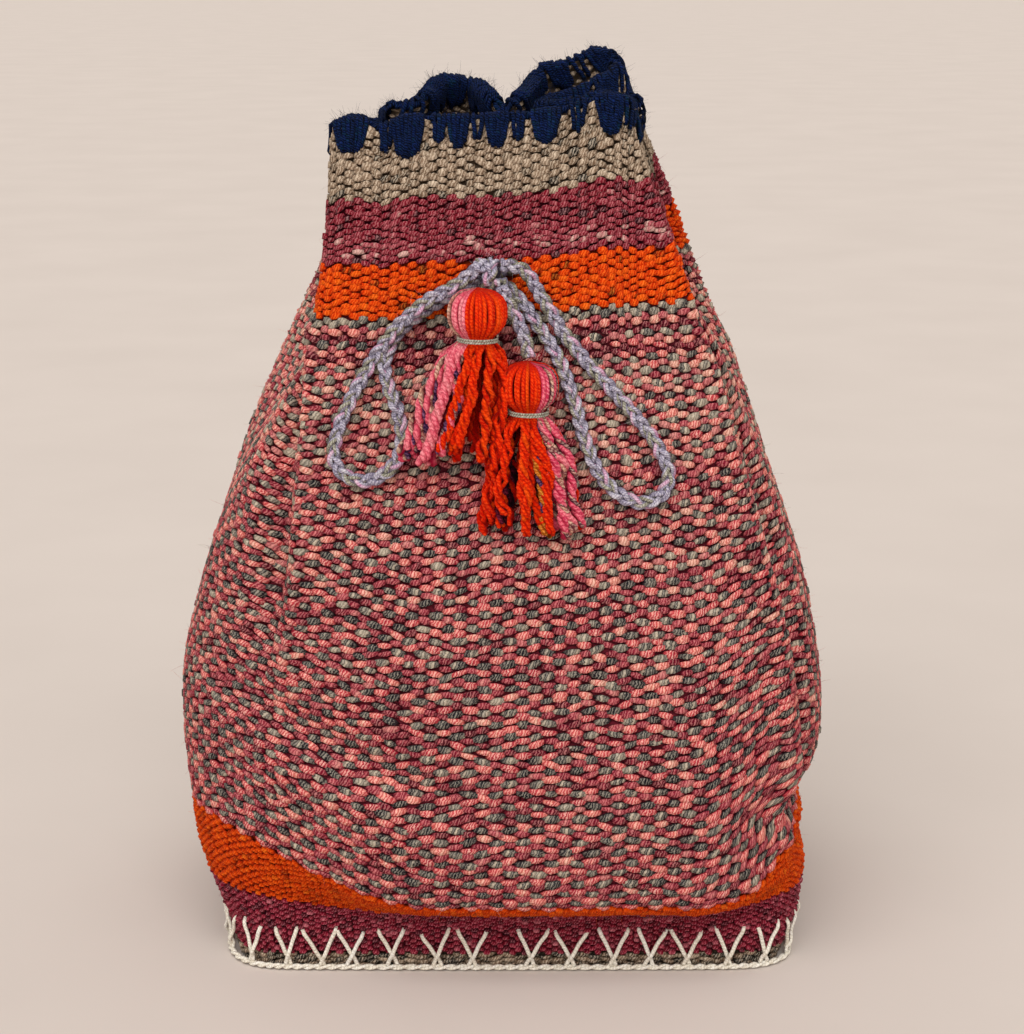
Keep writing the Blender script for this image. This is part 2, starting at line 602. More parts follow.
class Skein:
    """Closed tubes and skins gathered into one mesh, with their yarn places, tones and finishes."""

    def __init__(self) -> None:
        """Start empty."""
        self._parts: defaultdict[str, list[Array]] = defaultdict(list)
        self._count = 0

    def add(self, points: Array, faces: Sequence[Array], places: Sequence[Array],
            tones: Array, finish: int = 0, crowns: Array | None = None) -> None:
        """Add points and faces.

        Args:
            points: Vertices.
            faces: Arrays of faces, each of one kind.
            places: Their corners' yarn places.
            tones: A tone for each vertex.
            finish: Material slot.
            crowns: How far vertices stand out, from 0 to 1.
        """
        parts = self._parts
        parts["points"].append(points)
        parts["tone"].append(tones)
        parts["crown"].append(np.ones(len(points)) if crowns is None else crowns)
        for corners, place in zip(faces, places):
            parts["faces"].append(corners + self._count)
            parts["places"].append(place.reshape(-1, 2))
            parts["finishes"].append(np.full(len(corners), finish))
        self._count += len(points)

    def tubes(self, rings: Array, tips: Array, places: Array, tones: Array,
              finish: int = 0, crowns: Array | None = None, tip: float = 0.0) -> None:
        """Add closed tubes of equal counts.

        Args:
            rings: Points by tube, ring and side.
            tips: Two end points for each tube.
            places: Yarn places, with one side more.
            tones: A tone for each tube.
            finish: Material slot.
            crowns: How far ring points stand out.
            tip: How far tips stand out.
        """
        tubes, count, sides = rings.shape[:3]
        each = count * sides + 2
        points = np.concatenate([rings.reshape(tubes, -1, 3), tips], axis=1).reshape(-1, 3)
        start = (np.arange(tubes) * each)[:, None, None]
        turn = np.arange(sides)
        low = np.stack([np.full(sides, count * sides), (turn + 1) % sides, turn], -1)
        last = (count - 1) * sides
        high = np.stack([np.full(sides, count * sides + 1), last + turn, last + (turn + 1) % sides], -1)
        fan = np.concatenate([low, high])[None]
        start_row, end_row = places[:, 0], places[:, -1]
        fan_place = np.concatenate([
            np.stack([start_row[:, :-1], start_row[:, 1:], start_row[:, :-1]], 2),
            np.stack([end_row[:, :-1], end_row[:, :-1], end_row[:, 1:]], 2)], 1)
        if crowns is not None:
            crowns = np.concatenate([crowns.reshape(tubes, -1), np.full((tubes, 2), tip)], axis=1).ravel()
        self.add(points, [(grid_faces(count, sides) + start).reshape(-1, 4), (fan + start).reshape(-1, 3)],
                 [grid_corners(places), fan_place], np.repeat(tones, each), finish, crowns)

    def loop(self, rings: Array, places: Array, tone: float, finish: int = 0) -> None:
        """Add one tube that closes on itself, its places with one ring and one side more."""
        count, sides = rings.shape[:2]
        self.add(rings.reshape(-1, 3), [grid_faces(count, sides, True)], [grid_corners(places)],
                 np.full(count * sides, tone), finish)

    def yarns(self, paths: Array, radius: Array | float, guide: Array, sides: int,
              tones: Array, finish: int = 0, offset: Array | float = 0.0, flatten: float = 1.0) -> None:
        """Add a round yarn along each path, with its places moved along it and its section flattened."""
        rings, tips, places = tube_rings(paths, radius, guide, sides, flatten)
        places[..., 0] += offset
        self.tubes(rings, tips, places, tones, finish)

    def closed_tube(self, path: Array, radius: float, guide: Array, sides: int, tone: float) -> None:
        """Add a round tube along a path that closes on itself, with a direction across it."""
        around, guides = (np.concatenate([row[-1:], row, row[:1]])[None]
                          for row in (path, np.broadcast_to(guide, path.shape)))
        rings, _, places = tube_rings(around, radius, guides, sides)
        self.loop(rings[0, 1:-1], places[0, 1:], tone)

    def build(self, name: str, finishes: Sequence[Material]) -> Piece:
        """Make the object.

        Args:
            name: The piece's name.
            finishes: Its materials, in slot order.

        Returns:
            The new object, smooth shaded, at the origin.
        """
        mesh = bpy.data.meshes.new(name)
        parts = self._parts
        points = np.concatenate(parts["points"])
        corners = np.concatenate([f.ravel() for f in parts["faces"]])
        sizes = np.concatenate([np.full(len(f), f.shape[1]) for f in parts["faces"]])
        mesh.vertices.add(len(points))
        mesh.vertices.foreach_set("co", points.astype(np.float32).ravel())
        mesh.loops.add(len(corners))
        mesh.loops.foreach_set("vertex_index", corners.astype(np.int32))
        mesh.polygons.add(len(sizes))
        mesh.polygons.foreach_set("loop_start", np.concatenate([[0], np.cumsum(sizes)[:-1]]).astype(np.int32))
        mesh.polygons.foreach_set("material_index", np.concatenate(parts["finishes"]).astype(np.int32))
        mesh.update(calc_edges=True)
        layer = mesh.uv_layers.new(name="yarn")
        layer.uv.foreach_set("vector", np.concatenate(parts["places"]).astype(np.float32).ravel())
        for mask in ("tone", "crown"):
            layer = mesh.attributes.new(mask, "FLOAT", "POINT")
            layer.data.foreach_set("value", np.concatenate(parts[mask]).astype(np.float32))
        mesh.shade_smooth()
        for finish in finishes:
            mesh.materials.append(finish)
        made = bpy.data.objects.new(name, mesh)
        bpy.context.scene.collection.objects.link(made)
        LOG.info("%s: %d triangles", name, (sizes - 2).sum())
        return made


def tube_rings(paths: Array, radius: Array | float, guide: Array, sides: int,
               flatten: float = 1.0) -> tuple[Array, Array, Array]:
    """Lay round rings along paths.

    Args:
        paths: Points by tube and ring.
        radius: Half thicknesses.
        guide: A direction across them.
        sides: Points round.
        flatten: The share of the radius along the guide.

    Returns:
        The rings, the tips and the yarn places, in millimetres.
    """
    ahead = unit(np.gradient(paths, axis=1))
    side = unit(np.cross(np.broadcast_to(guide, paths.shape), ahead))
    up = np.cross(ahead, side)
    radius = np.broadcast_to(radius, paths.shape[:2])
    angle = np.arange(sides) / sides * TURN - math.pi / 2
    rings = (paths[:, :, None] + radius[:, :, None, None] * (
        side[:, :, None] * np.cos(angle)[:, None] + flatten * up[:, :, None] * np.sin(angle)[:, None]))
    tips = np.stack([paths[:, 0] - ahead[:, 0] * radius[:, :1] * 0.5,
                     paths[:, -1] + ahead[:, -1] * radius[:, -1:] * 0.5], 1)
    run = np.concatenate([np.zeros((len(paths), 1)),
                          np.cumsum(np.linalg.norm(np.diff(paths, axis=1), axis=2), axis=1)], 1)
    places = np.zeros((*paths.shape[:2], sides + 1, 2))
    places[..., 0] = run[:, :, None] / MILLIMETRE
    places[..., 1] = radius[:, :, None] * np.arange(sides + 1) / sides * TURN / MILLIMETRE
    return rings, tips, places


def standing_out(rings: Array, paths: Array, outward: Array, low: float = -0.75,
                 high: float = 0.35) -> Array:
    """Return how far each point of some rings faces outwards, from 0 in crevices to 1 on crowns."""
    away = unit(rings - paths[:, :, None])
    return ramp((away * np.broadcast_to(outward, paths.shape)[:, :, None]).sum(-1), low, high)


@dataclass
class Fleece:
    """Stray fibres that stand off yarn, with the counts of their sides and rings."""

    chance: np.random.Generator
    sides: int = 3
    rings: int = 3

    def onto(self, skein: Skein, roots: Array, facing: Array, tones: Array, reach: float,
             radius: float = 0.00006, finish: int = 0) -> None:
        """Add one curling fibre at each root.

        Args:
            skein: Their mesh.
            roots: Where they start.
            facing: The ways they leave the yarn.
            tones: Their tones.
            reach: Their mean length.
            radius: Their half thickness.
            finish: Material slot.
        """
        count = len(roots)
        if not count:
            return
        lean = unit(facing + self.chance.normal(0, 0.75, (count, 3)))
        curl = unit(self.chance.normal(0, 1, (count, 3)))
        length = reach * self.chance.uniform(0.45, 1.5, (count, 1, 1))
        t = np.linspace(0, 1, self.rings)[None, :, None]
        paths = roots[:, None] + length * (lean[:, None] * t + curl[:, None] * 0.55 * t**2)
        thick = radius * (1.0 - 0.7 * t[..., 0])
        guide = unit(np.cross(lean, curl))[:, None]
        skein.yarns(paths, np.broadcast_to(thick, paths.shape[:2]), guide, self.sides, tones, finish)


class Graph:
    """Short calls to add and join shader nodes."""

    def __init__(self, tree: bpy.types.NodeTree) -> None:
        """Work on the given tree."""
        self.tree = tree

    def node(self, kind: str, inputs: dict[str | int, object] | None = None,
             **settings: object) -> bpy.types.Node:
        """Add a node.

        Args:
            kind: Its type.
            inputs: Values or sockets for its inputs.
            **settings: Its own settings.

        Returns:
            The node.
        """
        made = self.tree.nodes.new(kind)
        for name, value in settings.items():
            setattr(made, name, value)
        for key, value in (inputs or {}).items():
            if isinstance(value, Socket):
                self.tree.links.new(value, made.inputs[key])
            else:
                made.inputs[key].default_value = value
        return made

    def math(self, operation: str, first: object, second: object = 0.0,
             third: object = 0.0) -> Socket:
        """Add a math node and return its result."""
        made = self.node("ShaderNodeMath", {0: first, 1: second, 2: third}, operation=operation)
        return made.outputs[0]

    def blend(self, share: object, first: object, second: object, kind: str = "MIX") -> Socket:
        """Mix two colours and return the result."""
        made = self.node("ShaderNodeMix", {0: share, 6: first, 7: second}, data_type="RGBA", blend_type=kind)
        return made.outputs[2]

    def shaded(self, colour: object, amount: object) -> Socket:
        """Multiply a colour by an amount and return the result."""
        grey = self.node("ShaderNodeCombineColor", {0: amount, 1: amount, 2: amount}).outputs[0]
        return self.blend(1.0, colour, grey, "MULTIPLY")

    def noise(self, place: object, scale: float, detail: float, roughness: float = 0.5,
              dimensions: str = "3D") -> Socket:
        """Add a noise texture and return its value."""
        return self.node("ShaderNodeTexNoise", {"Vector": place, "Scale": scale, "Detail": detail,
                                                "Roughness": roughness}, noise_dimensions=dimensions).outputs[0]

    def stops(self, share: object, colours: Sequence[tuple[float, Colour]],
              blending: str = "LINEAR") -> Socket:
        """Read a row of colours at a share.

        Args:
            share: A value or socket from 0 to 1.
            colours: Places from 0 to 1 and colours.
            blending: How they meet.

        Returns:
            The colour's socket.
        """
        made = self.node("ShaderNodeValToRGB", {0: share})
        made.color_ramp.interpolation = blending
        line = made.color_ramp.elements
        while len(line) < len(colours):
            line.new(1.0)
        for element, (place, colour) in zip(line, colours):
            element.position = place
            element.color = colour
        return made.outputs[0]


def start_finish(name: str, roughness: float, specular: float) -> tuple[Material, Graph, bpy.types.Node]:
    """Start a matt material.

    Args:
        name: Its name.
        roughness: The shader's roughness.
        specular: The shader's specular level.

    Returns:
        The material, its graph and its shader.
    """
    made = bpy.data.materials.new(name)
    made.use_nodes = True
    shader = made.node_tree.nodes["Principled BSDF"]
    shader.inputs["Roughness"].default_value = roughness
    shader.inputs["Specular IOR Level"].default_value = specular
    return made, Graph(made.node_tree), shader


def yarn_group() -> bpy.types.NodeTree:
    """Make the node group for spun yarn.

    Returns:
        The group, with masks for ply and fibre, each ply's chance, and the height.
    """
    tree = bpy.data.node_groups.new("spun_yarn", "ShaderNodeTree")
    face = tree.interface
    face.new_socket("Lay", in_out="INPUT", socket_type="NodeSocketFloat").default_value = 1.2
    for name in ("Ply", "Fibre", "Chance", "Height"):
        face.new_socket(name, in_out="OUTPUT", socket_type="NodeSocketFloat")
    graph = Graph(tree)
    given = graph.node("NodeGroupInput")
    place = graph.node("ShaderNodeUVMap", uv_map="yarn").outputs[0]
    wobble = graph.noise(place, 0.7, 1.0, dimensions="2D")
    slant = graph.node("ShaderNodeVectorMath", {0: place, 1: (0.94, 0.34, 0.0)}, operation="DOT_PRODUCT")
    turns = graph.math("DIVIDE", slant.outputs["Value"], given.outputs["Lay"])
    turns = graph.math("MULTIPLY_ADD", wobble, 1.3, turns)
    wave = graph.math("SINE", graph.math("MULTIPLY", turns, TURN))
    ply = graph.math("MULTIPLY_ADD", wave, 0.5, 0.5)
    number = graph.math("FLOOR", graph.math("ADD", turns, 0.25))
    chance = graph.node("ShaderNodeTexWhiteNoise", {"W": number}, noise_dimensions="1D").outputs["Value"]
    turned = graph.node("ShaderNodeMapping", {"Vector": place, "Rotation": (0, 0, math.radians(68)),
                                              "Scale": (1.4, 6.5, 1.0)})
    fibre = graph.noise(turned.outputs[0], 1.0, 3.0, 0.7, "2D")
    height = graph.math("MULTIPLY_ADD", ply, 0.6, graph.math("MULTIPLY", fibre, 0.6))
    graph.node("NodeGroupOutput", {"Ply": ply, "Fibre": fibre, "Chance": chance, "Height": height})
    return tree


@dataclass(frozen=True)
class Wool:
    """How one kind of yarn looks.

    Colours run from dark to pale, each after its place from 0 to 1. Deep is the crevices' colour
    and light the crowns'. Lay is the plies' spacing in millimetres, groove the dark between them,
    twist and patch how far plies and stretches differ, and glow the crowns' strength.
    """

    name: str
    colours: tuple[tuple[float, int, int, int], ...]
    deep: Shade
    light: Shade
    lay: float = 1.15
    groove: float = 0.45
    relief: float = 0.0004
    patch: float = 0.35
    glow: float = 0.8
    twist: float = 0.35

    def material(self, group: bpy.types.NodeTree) -> Material:
        """Make the material, coloured by tone, patch and ply, deep in crevices and light on crowns.

        Args:
            group: The spun yarn group.

        Returns:
            The new material.
        """
        made, graph, shader = start_finish(f"{self.name}_wool", 0.82, 0.04)
        yarn = graph.node("ShaderNodeGroup", node_tree=group)
        yarn.inputs["Lay"].default_value = self.lay
        tone, crown = (graph.node("ShaderNodeAttribute", attribute_name=name).outputs["Fac"]
                       for name in ("tone", "crown"))
        patch = graph.noise(graph.node("ShaderNodeTexCoord").outputs["Object"], 420.0, 2.0)
        shift = tone
        for value, reach in ((patch, self.patch), (yarn.outputs["Chance"], self.twist)):
            shift = graph.math("MULTIPLY_ADD", graph.math("SUBTRACT", value, 0.5), reach, shift)
        colour = graph.stops(shift, [(at, linear(*rgb)) for at, *rgb in self.colours])
        ply = graph.math("POWER", yarn.outputs["Ply"], 0.6)
        shade = graph.math("MULTIPLY_ADD", ply, self.groove, 1 - self.groove)
        streak = graph.math("MULTIPLY_ADD", yarn.outputs["Fibre"], 0.8, 0.6)
        worn = graph.shaded(colour, graph.math("MULTIPLY", shade, streak))
        lit = graph.math("MULTIPLY", graph.math("POWER", yarn.outputs["Ply"], 1.5),
                         graph.math("POWER", yarn.outputs["Fibre"], 1.5))
        lit = graph.math("MULTIPLY", lit, graph.math("POWER", crown, 2.0))
        lit = graph.math("MINIMUM", graph.math("MULTIPLY", lit, 2.0 * self.glow), 1.0)
        final = graph.blend(graph.math("POWER", crown, 0.8), linear(*self.deep),
                            graph.blend(lit, worn, linear(*self.light)))
        relief = graph.node("ShaderNodeBump", {"Strength": 0.9, "Distance": self.relief,
                                               "Height": yarn.outputs["Height"]})
        graph.tree.links.new(final, shader.inputs["Base Color"])
        graph.tree.links.new(relief.outputs[0], shader.inputs["Normal"])
        shader.inputs["Sheen Weight"].default_value = 0.02
        shader.inputs["Sheen Roughness"].default_value = 0.4
        made.diffuse_color = linear(*self.colours[len(self.colours) // 2][1:])
        return made


WOOLS = (
    Wool("oatmeal", ((0.0, 34, 34, 34), (0.14, 116, 92, 70), (0.45, 166, 136, 110), (1.0, 210, 186, 160)),
         (46, 34, 24), (244, 226, 202), lay=1.3, groove=0.4, patch=0.5, glow=0.8),
    Wool("maroon", ((0.0, 46, 6, 20), (0.28, 146, 6, 36), (0.55, 148, 18, 44), (0.8, 182, 72, 84),
         (1.0, 232, 186, 172)), (62, 2, 16), (240, 176, 176), groove=0.42, patch=0.45, glow=0.5),
    Wool("orange", ((0.0, 100, 24, 4), (0.12, 226, 46, 0), (0.5, 252, 64, 0), (1.0, 255, 104, 14)),
         (150, 24, 0), (255, 150, 56), groove=0.38, patch=0.4, glow=0.6),
    Wool("grey", ((0.0, 14, 20, 32), (0.35, 58, 60, 64), (0.65, 134, 126, 114), (1.0, 196, 180, 158)),
         (58, 28, 34), (222, 210, 190), groove=0.45, patch=0.45, glow=0.6, twist=1.2),
    Wool("dusty", ((0.0, 90, 6, 30), (0.35, 152, 26, 54), (0.7, 194, 76, 88), (1.0, 222, 140, 132)),
         (88, 8, 28), (238, 164, 158), groove=0.48, patch=0.5, glow=0.7, twist=0.6),
    Wool("coral", ((0.0, 196, 40, 64), (0.38, 242, 86, 92), (0.7, 250, 130, 116), (1.0, 246, 178, 154)),
         (134, 18, 38), (255, 210, 192), groove=0.46, patch=0.4, glow=1.0, twist=0.6),
    Wool("shade_orange", ((0.0, 164, 40, 2), (0.3, 230, 58, 2), (0.7, 248, 78, 4), (1.0, 255, 116, 24)),
         (140, 28, 0), (255, 150, 56), lay=1.0, groove=0.35, patch=0.5, glow=0.5),
    Wool("low_maroon", ((0.0, 72, 2, 22), (0.35, 146, 8, 38), (0.7, 172, 32, 62), (1.0, 220, 120, 130)),
         (66, 0, 16), (236, 150, 160), lay=1.0, groove=0.42, patch=0.5, glow=0.7),
    Wool("navy", ((0.0, 1, 4, 10), (0.4, 2, 8, 21), (0.72, 6, 18, 62), (1.0, 4, 32, 34)), (0, 2, 6),
         (40, 66, 132), lay=0.9, groove=0.6, patch=1.1, glow=0.5, twist=0.9),
    Wool("cream", ((0.0, 226, 212, 188), (0.5, 246, 236, 216), (1.0, 252, 246, 234)), (190, 170, 142),
         (255, 253, 244), lay=1.4, groove=0.22, patch=0.4, glow=0.5),
    Wool("lavender", ((0.0, 120, 112, 134), (0.4, 164, 155, 180), (0.75, 188, 181, 196),
         (1.0, 228, 221, 226)), (86, 78, 96), (246, 240, 246), lay=1.0, groove=0.3, patch=0.9, glow=0.8),
    Wool("moss", ((0.0, 106, 102, 86), (0.5, 156, 152, 130), (0.8, 184, 172, 166), (1.0, 212, 204, 190)),
         (80, 74, 68), (236, 232, 220), lay=1.0, groove=0.3, patch=0.9, glow=0.7),
    Wool("blush", ((0.0, 170, 116, 152), (0.5, 218, 152, 190), (1.0, 236, 210, 222)), (116, 80, 102),
         (250, 234, 242), lay=1.0, groove=0.26, patch=0.9, glow=0.7),
    Wool("scarlet", ((0.0, 222, 20, 0), (0.5, 255, 42, 0), (1.0, 255, 80, 6)), (156, 8, 0), (255, 110, 40),
         lay=1.4, groove=0.28, patch=0.35, glow=0.5, twist=0.25),
    Wool("pink", ((0.0, 232, 54, 96), (0.5, 255, 98, 122), (1.0, 255, 148, 154)), (164, 22, 54),
         (255, 186, 188), lay=1.6, groove=0.36, patch=0.4, glow=0.6, twist=0.3),
    Wool("peach", ((0.0, 92, 36, 60), (0.35, 176, 96, 92), (0.7, 226, 158, 130), (1.0, 240, 196, 168)),
         (84, 32, 42), (252, 220, 196), lay=1.3, groove=0.45, patch=0.5, twist=1.1),
    Wool("purple", ((0.0, 40, 14, 46), (0.5, 80, 38, 92), (1.0, 140, 86, 120)), (24, 8, 28),
         (180, 130, 160), lay=1.3, groove=0.45, patch=0.6, twist=0.8),
    Wool("wine", ((0.0, 40, 2, 16), (0.5, 92, 10, 38), (1.0, 136, 32, 62)), (22, 0, 8), (176, 70, 96),
         groove=0.45, patch=0.6),
    Wool("ochre", ((0.0, 196, 88, 8), (0.5, 240, 130, 20), (1.0, 252, 172, 60)), (116, 44, 2),
         (255, 204, 110), groove=0.4, patch=0.4, twist=0.5),
)


class Wardrobe(dict):
    """All the wools' materials by name, made once."""

    def __init__(self) -> None:
        """Make the yarn group and every wool."""
        group = yarn_group()
        super().__init__({wool.name: wool.material(group) for wool in WOOLS})


class Slot(Enum):
    """The record's material slots."""

    WOVEN = "woven_wool"
    BASE = "base_wool"
    CREAM = "cream_thread"
    NAVY = "navy_yarn"
    PLAIT = "plaited_cord"
    PINK = "pink_tassel"
    ORANGE = "orange_tassel"
    BINDING = "binding_thread"


def dress(piece: Piece, slot: Slot, *nodes: str) -> Piece:
    """Let a piece ride on the pouch.

    Args:
        piece: The piece.
        slot: Its material slot in the record.
        *nodes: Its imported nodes.

    Returns:
        The piece.
    """
    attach(piece, BODY)
    if nodes:
        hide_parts(*nodes)
    return piece


@dataclass(frozen=True)
class Band:
    """A stripe of weft: its upper edge, its picks' spacing, its yarns in turn, and their tones."""

    high: float
    pick: float
    yarns: Names
    tone: float
    spread: float


@dataclass
class Weave:
    """Every float of weft on the outside of the cloth, and those inside near the mouth.

    Rings, widths and angles shape a bead. Long and tall are shares of its room, deep its greatest
    depth, small the share of the dusty yarn, slub that of a thick place, and fine the yarns laid
    two floats to a column. Inside is how far down the inner face has beads.
    """

    surface: Surface
    wardrobe: Wardrobe
    keep_clear: Array
    columns: int = 152
    rings: Shares = (-0.6, 0.0, 0.6)
    widths: Shares = (0.72, 1.0, 0.72)
    fine_rings: Shares = (-0.45, 0.45)
    fine_widths: Shares = (0.92, 0.92)
    angles: Shares = (180, 245, 310, 410, 475)
    fine_angles: Shares = (180, 270, 360, 450)
    melange: Names = ("coral", "dusty", "grey")
    fine: Names = ("low_maroon", "shade_orange")
    long: float = 0.88
    tall: float = 1.12
    deep: float = 0.0015
    small: float = 0.92
    slub: float = 1.25
    foot: float = 0.0008
    inside: float = 0.04

    def __post_init__(self) -> None:
        """Lay out the stripes, upwards from the foot."""
        self.chance = np.random.default_rng(11)
        self.skeins: dict[str, Skein] = {}
        self.fleece = Fleece(np.random.default_rng(5))
        oatmeal, maroon, orange = HEIGHT - np.cumsum([OATMEAL_BAND, MAROON_BAND, ORANGE_BAND])
        low_orange = BOTTOM_MAROON_BAND + BOTTOM_ORANGE_BAND
        self.bands = (
            Band(0.0062, 0.0011, ("oatmeal",), 0.22, 0.22),
            Band(BOTTOM_MAROON_BAND, 0.00148, ("low_maroon",), 0.44, 0.3),
            Band(low_orange, 0.00156, ("shade_orange",), 0.5, 0.2),
            Band(0.13, 0.00138, self.melange, 0.39, 0.24),
            Band(0.175, 0.00138, self.melange, 0.42, 0.25),
            Band(0.215, 0.00138, self.melange, 0.54, 0.26),
            Band(orange - 0.0162, 0.00138, self.melange, 0.74, 0.26),
            Band(orange - 0.0135, 0.0013, ("dusty",), 0.12, 0.06),
            Band(orange - 0.009, 0.00138, self.melange, 0.72, 0.26),
            Band(orange - 0.0063, 0.0013, ("dusty",), 0.1, 0.06),
            Band(orange - 0.0016, 0.0014, self.melange, 0.76, 0.26),
            Band(orange, 0.0016, ("grey",), 0.7, 0.16),
            Band(maroon - 0.003, 0.00124, ("orange",), 0.5, 0.2),
            Band(maroon, 0.0015, ("orange",), 0.44, 0.14),
            Band(maroon + 0.0024, 0.00112, ("maroon",), 0.4, 0.14),
            Band(maroon + 0.009, 0.00114, ("maroon",), 0.64, 0.24),
            Band(oatmeal - 0.004, 0.00112, ("maroon",), 0.43, 0.2),
            Band(oatmeal, 0.00145, ("maroon",), 0.3, 0.1),
            Band(HEIGHT - 0.0006, 0.00138, ("oatmeal",), 0.47, 0.2))

    def picks(self) -> tuple[Array, Array, list[str], Array]:
        """Lay the picks in their stripes, each a little uneven and one in fifty thicker.

        Returns:
            Each pick's height, half height, yarn, and mean tone and its spread.
        """
        heights, halves, yarns, tones = [], [], [], []
        low = self.foot
        for band in self.bands:
            count = max(1, round((band.high - low) / band.pick))
            weights = self.chance.lognormal(0, 0.06, count)
            weights *= np.where(self.chance.random(count) < 0.02, self.slub, 1.0)
            share = np.concatenate([[0], np.cumsum(weights)]) / weights.sum()
            edges = low + share * (band.high - low)
            heights.append(0.5 * (edges[:-1] + edges[1:]))
            halves.append(np.diff(edges))
            yarns += [band.yarns[i % len(band.yarns)] for i in range(count)]
            tones += [(band.tone, band.spread)] * count
            low = band.high
        return np.concatenate(heights), np.concatenate(halves), yarns, np.array(tones)

    def drift(self, pick: Array, share: Array) -> Array:
        """Return how far a yarn's colour wanders along each pick, from its number and places round."""
        total = np.zeros_like(share)
        for cycles, weight in ((3, 0.35), (9, 0.35), (23, 0.45), (47, 0.35)):
            phase = (np.sin(pick * 12.9898 + cycles * 78.233) * 43758.5453) % 1
            total += weight * np.sin(TURN * (cycles * share + phase))
        return total

    def lay(self) -> None:
        """Make every pick's beads, outside over every second column and inside over the others."""
        heights, halves, yarns, tones = self.picks()
        LOG.info("%d picks", len(heights))
        kinds = sorted(set(yarns))
        kind = np.array([kinds.index(y) for y in yarns])
        fine = np.isin(kind, [kinds.index(name) for name in self.fine])
        melange = [kinds.index(name) for name in self.melange]
        for split, inside in ((1, False), (2, False), (1, True)):
            columns = self.columns * split
            pick, column = np.meshgrid(np.flatnonzero(fine == (split == 2)), np.arange(columns), indexing="ij")
            shown = (pick + column) % 2 == 0
            mask = ~shown & (heights[pick] > HEIGHT - self.inside) if inside else shown
            p, c = pick[mask], column[mask]
            share = (c + 0.5) / columns + self.chance.normal(0, 0.00055 / split, len(p))
            place = heights[p] + self.chance.normal(0, 0.00022 / split, len(p))
            wander = self.drift(p + 0.5 * inside, share)
            tone = tones[p, 0] + tones[p, 1] * (0.55 * wander + self.chance.normal(0, 0.75, len(p)))
            plain = ~np.isin(kind[p], melange)
            tone = np.where(plain & (self.chance.random(len(p)) < 0.02), -0.5, tone)
            yarn = kind[p].copy()
            self._mix_field(yarn, melange, wander)
            clear = self._apart(share, place)
            for number, name in enumerate(kinds):
                for far in (False, True):
                    chosen = clear & (yarn == number) & ((np.abs(share - 0.52) < 0.22) == far)
                    if chosen.any():
                        self._beads(name, share[chosen], place[chosen], halves[p[chosen]], tone[chosen],
                                    inside, far)

    def _mix_field(self, yarn: Array, melange: Sequence[int], wander: Array) -> None:
        """Let the field's yarns change colour for a stretch, where they have wandered far."""
        coral, dusty, grey = melange
        roll = self.chance.random(len(yarn))
        yarn[(yarn == coral) & (wander > 0.62) & (roll < 0.75)] = dusty
        yarn[(yarn == dusty) & (wander < -0.62) & (roll < 0.6)] = coral
        yarn[(yarn == grey) & (wander < -0.85) & (roll < 0.5)] = dusty

    def _apart(self, share: Array, height: Array) -> Array:
        """Return which places are clear of the drawstring."""
        points = self.surface.at(share, height)
        clear = np.ones(len(points), bool)
        near = np.abs(height - threading_height()) < 0.02
        gap = np.linalg.norm(points[near, None] - self.keep_clear[None], axis=2).min(1)
        clear[near] = gap > CORD_RADIUS + 2 * CLEARANCE
        return clear

    def _beads(self, name: str, share: Array, height: Array, half: Array, tone: Array,
               inside: bool, far: bool) -> None:
        """Add one bead at each place: a closed tube that dives into the cloth at both ends.

        Args:
            name: The yarn.
            share: Places round the cloth, as shares.
            height: Levels.
            half: Half heights of the picks.
            tone: Tones.
            inside: Whether on the inner face.
            far: Whether at the back.
        """
        chance, count = self.chance, len(share)
        girth = self.surface.girth_at(height)
        fine = name in self.fine
        pitch = girth / (self.columns * (2 if fine else 1))
        small = self.small if name == "dusty" else 1.0
        slub = np.where(chance.random(count) < 0.012, self.slub, 1.0)
        long = pitch * chance.normal(self.long * small, 0.07, count)
        tall = half * chance.normal(self.tall * small, 0.1, count) * slub
        deep = np.minimum(self.deep, 0.8 * tall + 0.0003) * chance.normal(1.0, 0.1, count)
        slant = chance.normal(0.02, 0.12, count)
        rise = chance.normal(-0.0001 - 0.0014 * (1 - small), 0.0002, count)
        rings = np.array(self.fine_rings if fine else self.rings)
        width = np.array(self.fine_widths if fine else self.widths)[None, :, None]
        angle = np.radians(self.fine_angles if inside or far or fine else self.angles)
        sides = len(angle)
        ring = rings[None, :, None]
        a = long[:, None, None] * ring + np.zeros((1, 1, sides))
        b = tall[:, None, None] * width * -np.sin(angle) + slant[:, None, None] * a
        dive = deep[:, None, None] * 0.75 * ring ** 2
        c = rise[:, None, None] - dive + deep[:, None, None] * width * np.cos(angle)
        crowns = np.broadcast_to(ramp(width * np.cos(angle) - 0.9 * ring ** 2, -0.6, 0.5), a.shape)
        tip_a = long[:, None] * np.array([-1.0, 1.0])
        tip_b = slant[:, None] * tip_a
        tip_c = (rise - 0.95 * deep)[:, None] + np.zeros((1, 2))
        flip = -1.0 if inside else 1.0
        base = -WALL + 0.0009 if inside else 0.0

        def lay_down(along: Array, up: Array, out: Array) -> Array:
            """Return points along, up and out of the cloth at each bead's place."""
            flat = (count, -1)
            points = self.surface.at(
                share[:, None] + flip * along.reshape(flat) / girth[:, None],
                np.clip(height[:, None] + up.reshape(flat), 0.0004, HEIGHT - 0.0002),
                base + flip * out.reshape(flat))
            points[..., 2] = np.maximum(points[..., 2], CLEARANCE)
            return points.reshape(*along.shape, 3)

